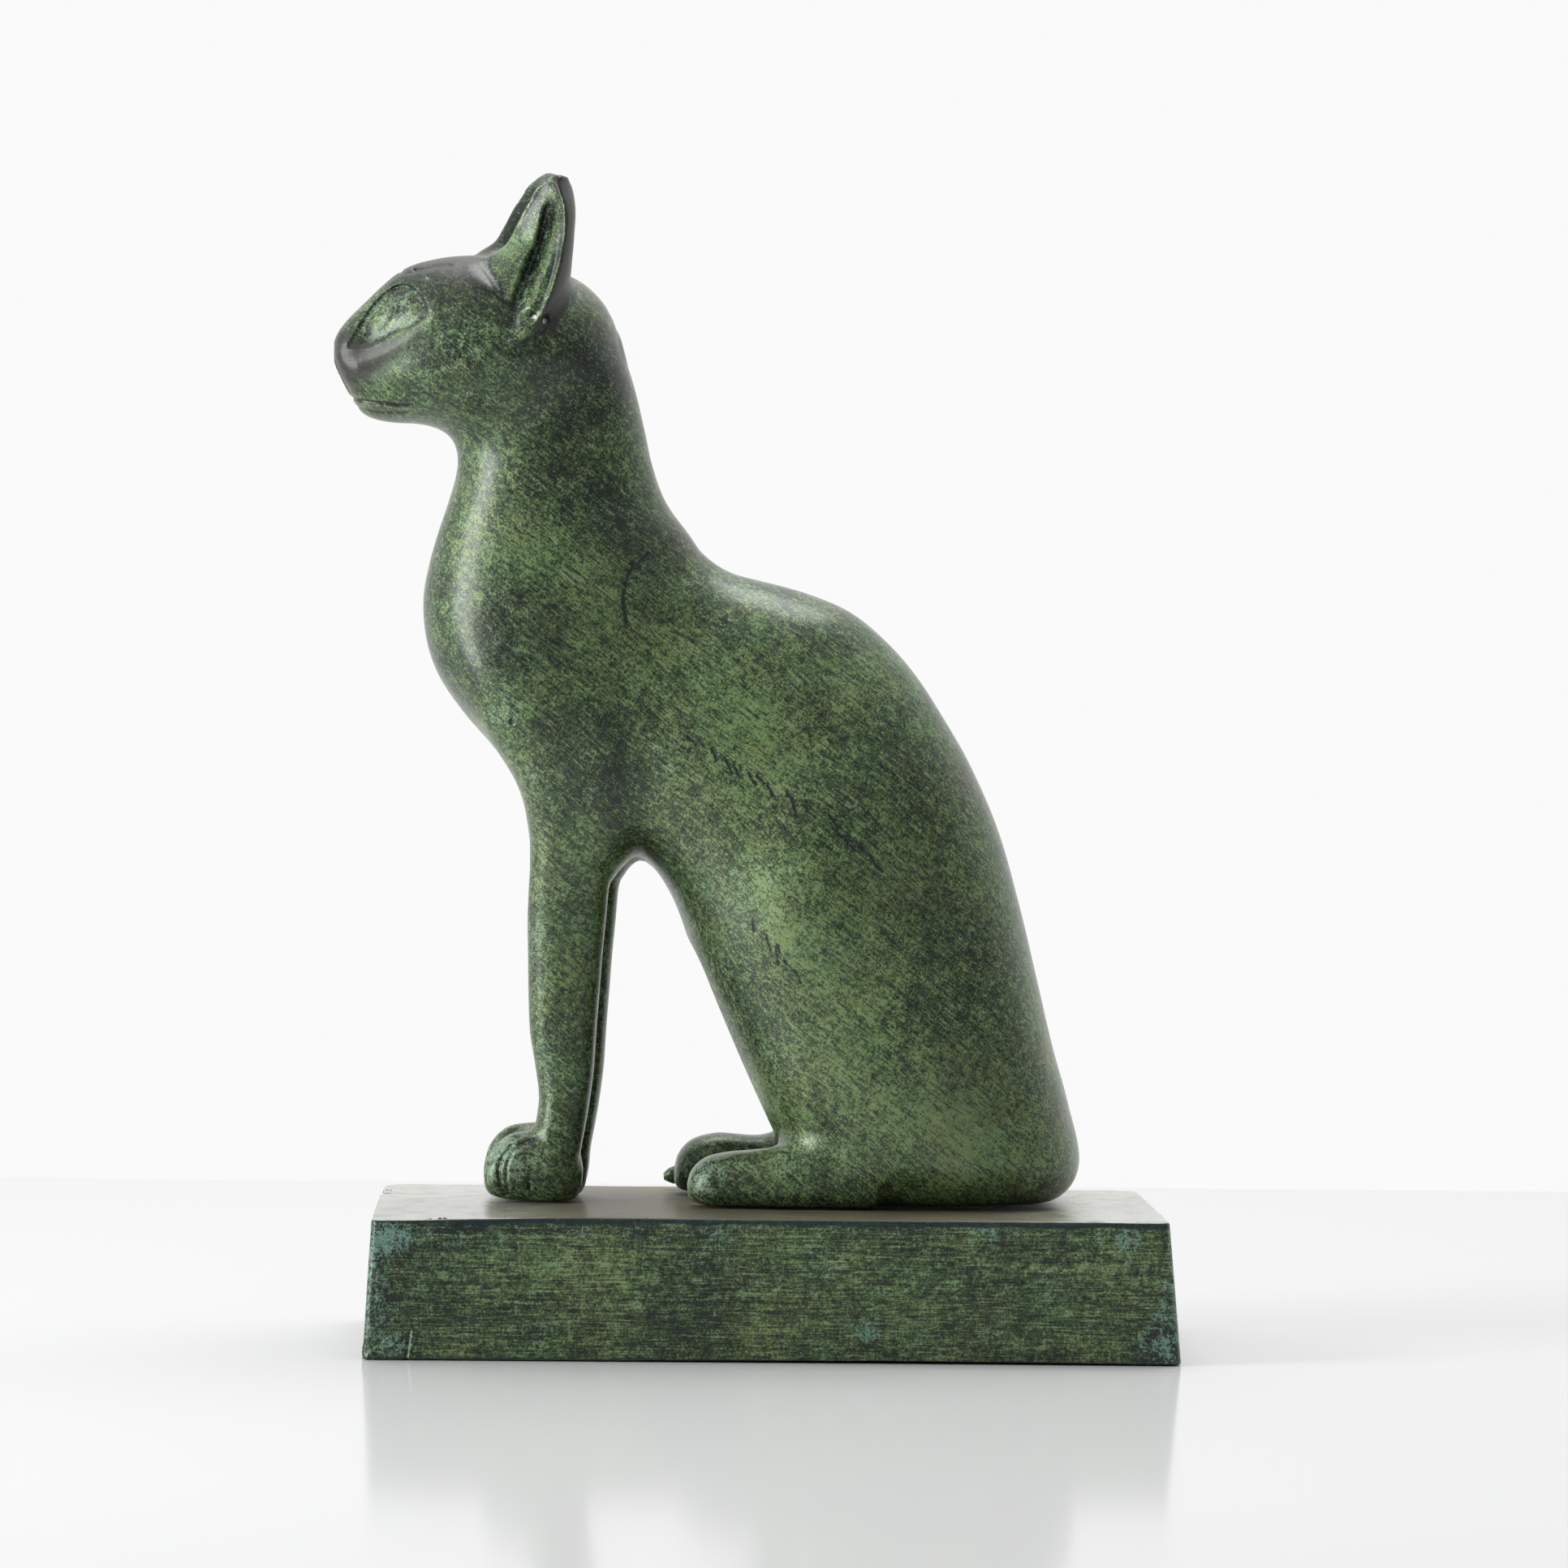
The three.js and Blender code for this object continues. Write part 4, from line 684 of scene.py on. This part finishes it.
ear_opening = rounded([
    (-60.2, 254.6), (-62, 252.6), (-63.4, 249.8), (-65.2, 246.4), (-67.1, 242.9), (-69.4, 239.4),
    (-72.4, 237.2), (-74.2, 235.4), (-73.6, 233), (-72.6, 230.8), (-71.4, 228.6), (-70.4, 226.4),
    (-70, 224), (-70.1, 221.6), (-69.7, 219.3), (-69.1, 217.4), (-68, 216.4), (-66, 217.5),
    (-63.5, 219.8), (-61.8, 222), (-60, 225.7), (-58.1, 231), (-57, 235.4), (-56.3, 239.2),
    (-55.8, 243), (-55.7, 246.8), (-56.1, 249.9), (-57.2, 252.9), (-58.6, 254.6),
], 2, closed=True)
# Casting pits on the head and the body: x, z, radius and depth
face_pits = [
    (-94.9, 232.1, 0.5, 0.5), (-91.5, 232.5, 0.45, 0.45), (-88.3, 230.9, 0.5, 0.5),
    (-78.4, 210.9, 0.55, 0.6), (-80.8, 212, 0.3, 0.3), (-83.2, 212.4, 0.35, 0.3),
    (-87.6, 213.9, 0.4, 0.3), (-95.3, 223, 0.6, 0.8),
]
body_pits = [(-65.2, 119.7, 0.7, 0.7), (36, 94.7, 0.6, 0.6), (35.2, 95.6, 0.35, 0.4)]
# Pierced holes, one in the ear's opening and one behind it
scoop_hole = [(-63.3, 222.2, 0.75, 1.5)]
rear_hole = [(-59.8, 221.1, 0.75, 1.5)]
# Scratches on the near side: a bowed one at the shoulder and three bunches of short strokes
scratches = [rounded([(-31.7, 161.7), (-36.5, 157), (-38, 150), (-37, 144)])]
draw = np.random.default_rng(11)
bunches = [((-22, 117), (9, 99), 15), ((13, 97), (25, 86), 7), ((-5, 71), (6, 59), 6)]
for (ax, az), (bx, bz), count in bunches:
    for n in range(count):
        share = (n + draw.uniform(0, 1)) / count
        px, pz = ax + (bx - ax) * share + draw.uniform(-1, 1), az + (bz - az) * share
        length, steep = draw.uniform(1.5, 5), math.radians(draw.uniform(45, 85))
        scratches.append([(px, pz), (px + length * math.cos(steep), pz - length * math.sin(steep))])


def scratch_distance(x, z):
    nearest = np.full(len(x), 1e3)
    i = np.nonzero((x > -45) & (x < 32) & (z > 50) & (z < 166))[0]
    for line in scratches:
        nearest[i] = np.minimum(nearest[i], away_from(line, x[i], z[i]))
    return nearest


def outline_distance(line, x, z):
    """Distance to a closed line, less than nothing inside it."""
    inside = np.zeros(len(x), bool)
    for (ax, az), (bx, bz) in zip(line[:-1], line[1:]):
        if az == bz:
            continue
        crossed = (az > z) != (bz > z)
        inside ^= crossed & (x < (bx - ax) * (z - az) / (bz - az) + ax)
    away = away_from(line, x, z)
    return np.where(inside, -away, away)


def face_sunk(x, y, z):
    """How deep the carving goes at each point of the head."""
    sunk = painted(face_pits, x, z)
    i = np.nonzero(x < -80)[0]
    x, y, z = x[i], y[i], z[i]
    beside = ramp(np.abs(y), 1.5, 4.5)
    eye = outline_distance(eye_rim, x, z)
    ball = np.hypot(x + 96.4, z - 223)
    floor = 1.15 - 0.55 * np.exp(-(ball / 4.2) ** 2)
    floor += 0.2 * waves(np.stack([x, y, z], 1), [3.3, 2.4, 1.9, 2.8], 7)
    floor *= 0.35 + 0.65 * ramp(x, -108, -101)
    carved = beside * floor * (1 - ramp(eye, -0.75, 0.25))
    nostril = ramp(np.abs(y), 1, 2.6)
    for line, depth, width, where in (
            (cheek_fold, -0.4, 1.9, beside), (brow_fold, -0.12, 0.9, beside),
            (mouth_line, 0.5, 0.45, 1), (lip_line, 0.2, 0.45, 1),
            (nose_line, 0.5, 0.6, nostril), (crown_line, 0.18, 0.5, 1)):
        carved += where * depth * on_line(line, x, z, width)
    # A cleft down the middle of the nose and lip
    carved += 0.5 * np.exp(-(y / 0.6) ** 2) * ramp(-x, 104, 106.5) * (1 - ramp(z, 207, 210))
    sunk[i] += carved
    return sunk


far_ear_rise = 0.6


def far_ear_back(z):
    """How far forward of the near ear the far ear stands, at each height."""
    return 2.2 - 1.9 * ramp(z, 241, 255)


def ear_distance(x, y, z):
    z = z - far_ear_rise * (y > 0)
    height = np.clip(z, ear.start, ear.end)
    middle_x, middle_y, half, depth = ear(height)
    dx = x - middle_x + far_ear_back(z) * (y > 0)
    dy = np.abs(y) - middle_y
    u = dx * math.cos(ear_angle) + dy * math.sin(ear_angle)
    v = dx * math.sin(ear_angle) - dy * math.cos(ear_angle)
    ratio = np.hypot(u / half, v / depth)
    slope = np.hypot(u / half ** 2, v / depth ** 2) / np.maximum(ratio, 0.05)
    leaf = (ratio - 1) / np.maximum(slope, 0.05) / 1.1
    leaf = smooth_max(leaf, -0.5 - v - 7 * ramp(z, 221, 229) * (1 - ramp(z, 229, 241)), 1)
    return np.where(z == height, leaf, np.hypot(np.maximum(leaf, 0), z - height))


def round_skull(x, y, z):
    off = (np.stack([x, y, z], 1) - skull_middle) / skull_half
    ratio = np.linalg.norm(off, axis=1)
    return (ratio - 1) * ratio / np.maximum(np.linalg.norm(off / skull_half, axis=1), 1e-4)


def ear_scooped(x, y, z):
    """How deep a point lies in the opening of an ear, less than nothing outside it."""
    x = x + far_ear_back(z) * (y > 0)
    z = z - far_ear_rise * (y > 0)
    front_x, front_y, rear_x, rear_y, groove = scoop(z)
    share = np.clip((x - front_x) / (rear_x - front_x), 0, 1)
    floor = front_y + (rear_y - front_y) * share
    floor += 0.5 * on_line(ear_fold, x, z, 0.8)
    floor -= groove * on_line(ear_groove, x, z, 1.7)
    floor += 0.5 * on_line(ear_band, x, z, 1.2)
    floor -= painted(scoop_hole, x, z)
    return smooth_min((np.abs(y) - floor) / 1.25, -outline_distance(ear_opening, x, z), 1.2)


paw_middle = 8.4
# Creases on the outer side of a forepaw: line, depth and width
paw_creases = [
    (rounded([(-64.4, 13.6), (-66.4, 11), (-67.4, 7.9), (-67, 4.6), (-65.9, 1.6)]), 0.55, 0.5),
    (rounded([(-64.2, 12.4), (-65.3, 8.8), (-65.6, 5), (-65.1, 2)]), 0.4, 0.45),
    (rounded([(-59.9, 6.6), (-59.7, 5), (-59.8, 3.2)]), 0.35, 0.5),
    (rounded([(-64.4, 13.7), (-60.4, 14.6), (-56.6, 16.2)]), 0.45, 0.7),
]


def paw_sunk(x, y, z):
    """How deep a forepaw's creases and the grooves between its toes go."""
    fade = (1 - ramp(x, -66, -61)) * ramp(z, 0, 2)
    out = np.abs(y) - paw_middle
    sunk = np.zeros(len(x))
    for groove in (-3.6, 0, 3.6):
        sunk += 0.9 * fade * np.exp(-((out - groove) / 0.8) ** 2)
    outer_side = ramp(out, 2.5, 5)
    for line, depth, width in paw_creases:
        sunk += depth * outer_side * on_line(line, x, z, width)
    return sunk


head_turn, head_tip = math.radians(5), math.radians(4.5)
head_pivot = np.array([-62, 0, 200])
head_frame = np.array(Matrix.Rotation(head_turn, 3, "Z") @ Matrix.Rotation(head_tip, 3, "X"))


def head_view(x, y, z):
    """The points as the head sees them, before it is turned and tipped about the neck."""
    return ((np.stack([x, y, z], 1) - head_pivot) @ head_frame + head_pivot).T


def cat_distance(places):
    """How far each point is outside the cat, in drawn millimetres."""
    x, y, z = places.T
    side = np.clip(y / 4, -1, 1)
    far = (1 + side) / 2
    half_y = np.abs(y)
    body = np.full(len(x), 1e3)

    def chosen(where):
        i = np.nonzero(where)[0]
        return i, x[i], y[i], z[i]

    i, u, v, w = chosen((z < 172) & (x > -66))
    across = u * math.cos(haunch_lean) + w * math.sin(haunch_lean)
    up = w * math.cos(haunch_lean) - u * math.sin(haunch_lean)
    body[i] = smooth_max(swept(haunch, up, across, v), -w, 12)
    i, u, v, w = chosen((z < 75) & (x > -66) & (x < 30))
    body[i] = smooth_max(body[i], -shin_hollow(u, v, w), 4)
    i, u, v, w = chosen((z > 40) & (z < 125) & (x > -30) & (x < 45))
    body[i] -= knee_swell * on_line(knee_line, u, w, 11) * ramp(np.abs(v), 8, 20)
    i, u, v, w = chosen((z > 72) & (x < 4))
    body[i] = smooth_min(body[i], swept(chest, w, u, v), 7)
    i, u, v, w = chosen((z < 158) & (x < -24))
    leg = swept(foreleg, w, u - side[i] * 1.25, half_y[i])
    body[i] = smooth_min(body[i], leg, 5 + 8 * ramp(u, -54, -40))
    i, u, v, w = chosen((z < 31) & (x < -34))
    paw = swept(forepaw, u + side[i] * 0.25, w / (1 + 0.05 * far[i]), half_y[i])
    body[i] = smooth_min(body[i], paw + paw_sunk(u, v, w), 3)
    i, u, v, w = chosen((z < 31) & (x > -36) & (x < 38))
    foot_z = w / (1 + 0.14 * far[i] * (1 - ramp(u, -14, 0)))
    body[i] = smooth_min(body[i], swept(hind_foot, u + side[i] * 1.45, foot_z, half_y[i]), 5)
    i, u, v, w = chosen((z < 26) & (y > -20) & (x > -40))
    body[i] = smooth_min(body[i], tail_distance(u, v, w), 2)
    i, u, v, w = chosen((z > 178) & (x < -28))
    hx, hy, hz = head_view(u, v, w)
    skull = smooth_min(swept(head, hx, hz, hy), round_skull(hx, hy, hz), 6)
    skull = skull + face_sunk(hx, hy, hz)
    melt = 15 - 7 * ramp(u, -82, -60) - 5 * ramp(u, -64, -56)
    melt = melt - (melt - 2) * ramp(w, 203, 216) * (1 - 0.5 * ramp(u, -62, -50))
    body[i] = smooth_min(body[i], skull, melt)
    near_ear = (hz > 206) & (hx > -84)
    i, hx, hy, hz = i[near_ear], hx[near_ear], hy[near_ear], hz[near_ear]
    scooped = ear_scooped(hx, hy, hz)
    whole = smooth_min(body[i], ear_distance(hx, hy, hz), 2 + 1.6 * ramp(hz, 220, 232))
    body[i] = smooth_max(whole, scooped, 5 - 4 * ramp(hx, -72, -65))
    body[i] += painted(rear_hole, hx, hz)
    worn = painted(body_pits, x, z) + 0.14 * np.exp(-(scratch_distance(x, z) / 0.35) ** 2)
    return smooth_max(body + worn * (y < 0), -z, 1.5)


def slope_of(places, value, step=0.03):
    """How the distance, whose value here is given, grows along each axis."""
    return np.stack([(cat_distance(places + move) - value) / step for move in step * np.eye(3)], 1)


def settle_on_cat(mesh, first=0, rounds=1):
    """The vertices from the first on move along the field's slope until they lie on the cat."""
    every = vectors_of(mesh) / MM - cat_place
    places = every[first:]
    for _ in range(rounds):
        value = cat_distance(places)
        slope = slope_of(places, value)
        steep = np.maximum((slope ** 2).sum(1), 0.3)
        places -= slope * (np.clip(value, -0.7, 0.7) / steep)[:, None]
    places[:, 2] = np.maximum(places[:, 2], 0)
    move_to(mesh, (every + cat_place) * MM)


def longest_on_cat(middles):
    """How long an edge of the cat's mesh may be: short where there is fine carving."""
    x, y, z = (middles / MM - cat_place).T
    longest = np.full(len(x), 2.4)
    longest[(z > 185) & (x < -44)] = 1.7
    longest[(z > 207) & (x < -86)] = 0.95
    longest[(z > 195) & (z < 203) & (x < -90)] = 0.8
    longest[(z > 214) & (x > -76) & (x < -51)] = 1.05
    longest[(z < 19) & (x < -46)] = 1.1
    longest[(z < 18) & (x > -28) & (x < -4)] = 1.7
    longest[(scratch_distance(x, z) < 0.9) & (y < 0)] = 0.5
    for px, pz, radius, _ in body_pits:
        longest[(np.hypot(x - px, z - pz) < 3 * radius) & (y < 0)] = 0.45
    for px, pz, radius, _ in face_pits + scoop_hole + rear_hole:
        longest[np.hypot(x - px, z - pz) < 2.5 * radius] = 0.4
    return longest * MM


bpy.ops.object.select_all(action="DESELECT")
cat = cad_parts["cat"].copy()
cat.data = cat.data.copy()
cat.name = cat.data.name = "cat_casting"
cat.parent = None
for key in list(cat.keys()):
    del cat[key]
cat.data.materials.clear()
bpy.context.scene.collection.objects.link(cat)
bpy.context.view_layer.objects.active = cat
cat.select_set(True)
bpy.ops.object.mode_set(mode="EDIT")
bpy.ops.mesh.select_all(action="SELECT")
bpy.ops.mesh.remove_doubles(threshold=0.001 * MM)
bpy.ops.object.mode_set(mode="OBJECT")
settle_on_cat(cat.data, rounds=3)
split_long_edges(cat, longest_on_cat, 7, settle_on_cat)
bpy.ops.object.mode_set(mode="EDIT")
bpy.ops.mesh.select_all(action="SELECT")
bpy.ops.mesh.vertices_smooth(factor=0.4, repeat=2)
bpy.ops.object.mode_set(mode="OBJECT")
settle_on_cat(cat.data, rounds=2)
places = np.clip(vectors_of(cat.data), *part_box("cat"))
move_to(cat.data, places)

places = places / MM - cat_place
value = cat_distance(places)
normals = slope_of(places, value)
normals /= np.linalg.norm(normals, axis=1)[:, None]
cat.data.polygons.foreach_set("use_smooth", np.ones(len(cat.data.polygons), bool))
cat.data.normals_split_custom_set_from_vertices(normals)


def bend_of(places, reach):
    """How hollow (minus) or how crested (plus) the cat is round each point."""
    total = -6 * cat_distance(places)
    for move in reach * np.eye(3):
        total += cat_distance(places - move)
        total += cat_distance(places + move)
    return total / reach


# Where the patina differs, and the painted highlight on the thigh: x, z, how wide, and how much, in
# drawn millimetres
bloom_patches = [
    (-80, 211, 8, 0.35), (-74, 217, 5, 0.25), (-96, 220, 8, 0.3), (-66, 122, 5, 0.5),
    (-61, 106, 6, 0.45), (-58, 67, 3.5, 0.45), (-57.5, 55, 3, 0.35), (-57, 37, 4, 0.3),
    (-54.5, 21, 4, 0.45), (-62, 11, 6, 0.6), (-69, 9, 5, 0.6), (-16, 9, 6, 0.5), (-66, 15, 3, 0.5),
    (2, 35, 8, 0.3), (0, 62, 9, 0.25), (-2, 82, 7, 0.25), (-71, 12, 3, 0.5), (-19, 12, 4, 0.5),
    (4, 12, 6, 0.3), (50, 14, 12, 0.15), (-77, 177, 4, 0.3), (-76, 165, 3, 0.25),
    (-62, 225, 4, 0.3), (36, 60, 9, 0.12),
]
shade_patches = [
    (-52, 204, 11, 0.5), (-48, 179, 12, 0.4), (-71, 138, 9, 0.35), (-58, 146, 10, 0.3),
    (-53, 122, 7, 0.35), (-42, 105, 9, 0.35), (-33, 90, 6, 0.35), (-40, 212, 14, 0.3),
    (-86, 234, 12, 0.6), (-108, 209, 7, 0.45), (-53, 240, 8, 0.5), (-32, 170, 12, 0.3),
    (-52, 75, 6, 0.15), (48, 160, 12, 0.2), (-10, 142, 10, 0.15), (-90, 208, 7, 0.3),
    (-77, 233, 3.5, 1), (-73, 228, 3, 0.9), (-104, 210, 6, 0.6), (-80, 215, 18, 0.12),
]
lift_and_highlight_patches = [
    (-52, 160, 11, 0.3), (-7, 128, 12, 0.3), (-5, 110, 12, 0.3), (33, 88, 14, 0.2),
    (-82, 213, 10, 0.05), (22, 46, 16, 0.3), (-64, 165, 9, 0.15), (-98, 203, 6, 0.15),
    (10, 75, 14, 0.2), (0, 25, 10, 0.3), (55, 20, 16, 0.45), (30, 20, 16, 0.35), (0, 10, 8, 0.3),
    (-69, 238, 4, 0.8), (-66, 245, 4, 0.7), (-71, 230, 3, 0.4), (-59, 240, 3, 0.4),
    # The next four patches are a painted highlight down the front of the thigh
    (-5, 90, 5, 0.35), (-2, 80, 6, 0.5), (2, 70, 6, 0.4), (5, 58, 7, 0.25),
]
rust_patches = [
    (-96, 235, 7, 0.5), (-86, 237, 8, 0.55), (-77, 238, 7, 0.6), (-60, 143, 12, 0.35),
    (30, 84, 16, 0.3), (44, 30, 16, 0.35), (-38, 160, 12, 0.25), (-24, 8, 7, 0.2),
    (-108, 212, 5, 0.8), (-103, 209.5, 4.5, 0.8), (-97, 213, 3.5, 0.6), (-92, 216.5, 3, 0.5),
    (-110, 206, 4, 0.7),
]
hollow, crease = bend_of(places, 2.2), bend_of(places, 0.8)
x, y, z = places.T
hx, hy, hz = head_view(x, y, z)
shift = np.where(y > 0, 9, 0)
eye = 1 - ramp(outline_distance(eye_rim, hx, hz), -1.2, -0.3)
eye *= (hx < -80) & (np.abs(hy) > 3)
# A strip on the back of the ear, in shadow beside the edge of its opening, is painted nearly black:
# painted shade over a brown tone
ear_rim = np.array([(219.8, -63.5), (222, -61.8), (225.7, -60), (231, -58.1), (235.4, -57),
                    (243, -55.8), (249.9, -56.1), (254.6, -58.6)])
behind_rim = hx - np.interp(hz, *ear_rim.T)
ear_back_shadow = ramp(behind_rim, 0.2, 0.9) * (1 - ramp(behind_rim, 3 + (256 - hz) * 0.06, 7))
ear_back_shadow *= ramp(hz, 216, 221)
# Painted shade in the pit of the eye's pupil, and a darker patch round it
pupil_pit_shade = painted([(-95.3, 223, 0.9, 1.4), (-96, 221.5, 2.2, 0.5)], hx, hz) * eye
masks = {
    "Bloom": painted(bloom_patches, x + shift, z) + 0.35 * ramp(-hollow, 0.1, 1) + 0.1 * eye,
    # Shade: darker patches, scratches, the far ear darker, and painted shade in creases, the pupil's
    # pit and the ear's back
    "Shade": painted(shade_patches, x + shift, z) + 1.4 * ramp(-crease, 0.12, 0.6)
             + ear_back_shadow + pupil_pit_shade + 0.9 * (hy > 0) * ramp(hz, 228, 234)
             + 1.3 * np.exp(-(scratch_distance(x, z) / 0.4) ** 2) * (y < 0),
    # Lift: lighter patches, wear on the crests, the eye's floor and a painted highlight on the thigh's
    # front
    "Lift": 0.04 + painted(lift_and_highlight_patches, x - shift, z) + 0.5 * ramp(crease, 0.35, 1)
            + 0.45 * eye,
    "Rust": painted(rust_patches, hx, hz) + 1.5 * ear_back_shadow,
    "Chalk": ramp(painted([(-62.8, 221.6, 0.6, 1), (-60.2, 220.7, 0.6, 1)], hx, hz), 0.3, 0.6)
             * (hy < 0),
}
for name, values in masks.items():
    keep_values(cat.data, name, values)

cat_finish, tree, shader = new_finish("mottled_green_bronze")
place = add(tree, "TexCoord").outputs["Object"]
drift = add(tree, "TexNoise", {"Vector": place, "Scale": 22, "Detail": 2}).outputs["Color"]
drift = add(tree, "VectorMath", {0: drift, 1: (0.5, 0.5, 0.5)}, operation="SUBTRACT").outputs[0]
drift = add(tree, "VectorMath", {0: drift, 3: 0.006}, operation="SCALE").outputs[0]
bent = add(tree, "VectorMath", {0: place, 1: drift}, operation="ADD").outputs[0]
given = {"Place": place}
for name, angle, scale in (("Strokes", 52, (2600, 1100, 200)), ("Crossing", -28, (2300, 1100, 420))):
    turned = add(tree, "Mapping", {"Vector": bent, "Rotation": (0, math.radians(angle), 0)}).outputs[0]
    given[name] = add(tree, "Mapping", {"Vector": turned, "Scale": scale}).outputs[0]
for name in masks:
    given[name] = kept_values(tree, name)
chalk = given.pop("Chalk")
given.update({"Deep": (0.009, 0.015, 0.012, 1), "Green": (0.052, 0.09, 0.038, 1),
              "Leaf": (0.185, 0.27, 0.108, 1), "Verdigris": (0.25, 0.38, 0.26, 1)})
made = add(tree, "Group", given, node_tree=patina)
color = blend(tree, chalk, made.outputs["Color"], (0.8, 0.8, 0.76, 1))
wax(tree, shader, color, made.outputs["Roughness"], made.outputs["Height"])
cat.data.materials.append(cat_finish)
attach(cat, "root")
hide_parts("cat")


# The setting: a pale glossy table in front of a white backdrop, lit by a big soft box
# overhead and another at the cat's front. None of it belongs to the object.
bpy.ops.mesh.primitive_plane_add(size=1, location=(0, -1.8, -0.0001))
bpy.context.object.scale = (8, 4.55, 1)
table = start_piece("table")
table_finish, tree, shader = new_finish("pale_table")
feed(tree, shader, {"Base Color": (0.61, 0.615, 0.615, 1), "Roughness": 0.12, "IOR": 1.1})
table.data.materials.append(table_finish)

world = bpy.data.worlds.new("white_studio")
bpy.context.scene.world = world
world.use_nodes = True
tree = world.node_tree
tree.nodes.clear()
xyz = add(tree, "SeparateXYZ", {0: add(tree, "TexCoord").outputs["Generated"]})
behind = ease(tree, xyz.outputs["Y"], -0.5, 0.6)
above = ease(tree, xyz.outputs["Z"], 0.1, 0.9)
light = reckon(tree, "MULTIPLY_ADD", above, 0.3, reckon(tree, "MULTIPLY_ADD", behind, 0.7, 0.25))
seen = add(tree, "LightPath").outputs["Is Camera Ray"]
strength = add(tree, "Mix", {0: seen, 2: light, 3: 0.955}, data_type="FLOAT").outputs[0]
lamp = add(tree, "Background", {"Color": (1, 1, 1, 1), "Strength": strength})
add(tree, "OutputWorld", {"Surface": lamp.outputs[0]})


def soft_box(name, place, width, height, power):
    """A soft light that faces the cat."""
    light = bpy.data.lights.new(name, "AREA")
    light.shape = "RECTANGLE"
    light.size, light.size_y, light.energy = width, height, power
    lamp = bpy.data.objects.new(name, light)
    bpy.context.scene.collection.objects.link(lamp)
    lamp.location = place
    lamp.rotation_euler = (Vector((0, 0, 0.15)) - Vector(place)).to_track_quat("-Z", "Y").to_euler()


soft_box("overhead_box", (0.1, 0.3, 1.4), 0.9, 0.7, 11)
soft_box("front_box", (-1.25, -0.45, 0.5), 0.45, 0.9, 16)

camera = bpy.data.objects.new("camera", bpy.data.cameras.new("camera"))
bpy.context.scene.collection.objects.link(camera)
camera.data.lens = 136.3
camera.data.sensor_width = 36
camera.data.clip_end = 20
yaw, pitch, roll = (math.radians(angle) for angle in (1.66, 0.884, 0.648))
camera.matrix_world = (
    Matrix.Translation((plinth_middle.x - 0.0406, -1.488, 0.163)) @ Matrix.Rotation(-yaw, 4, "Z")
    @ Matrix.Rotation(math.pi / 2 - pitch, 4, "X") @ Matrix.Rotation(roll, 4, "Z"))
bpy.context.scene.camera = camera
bpy.context.scene.view_settings.view_transform = "Standard"
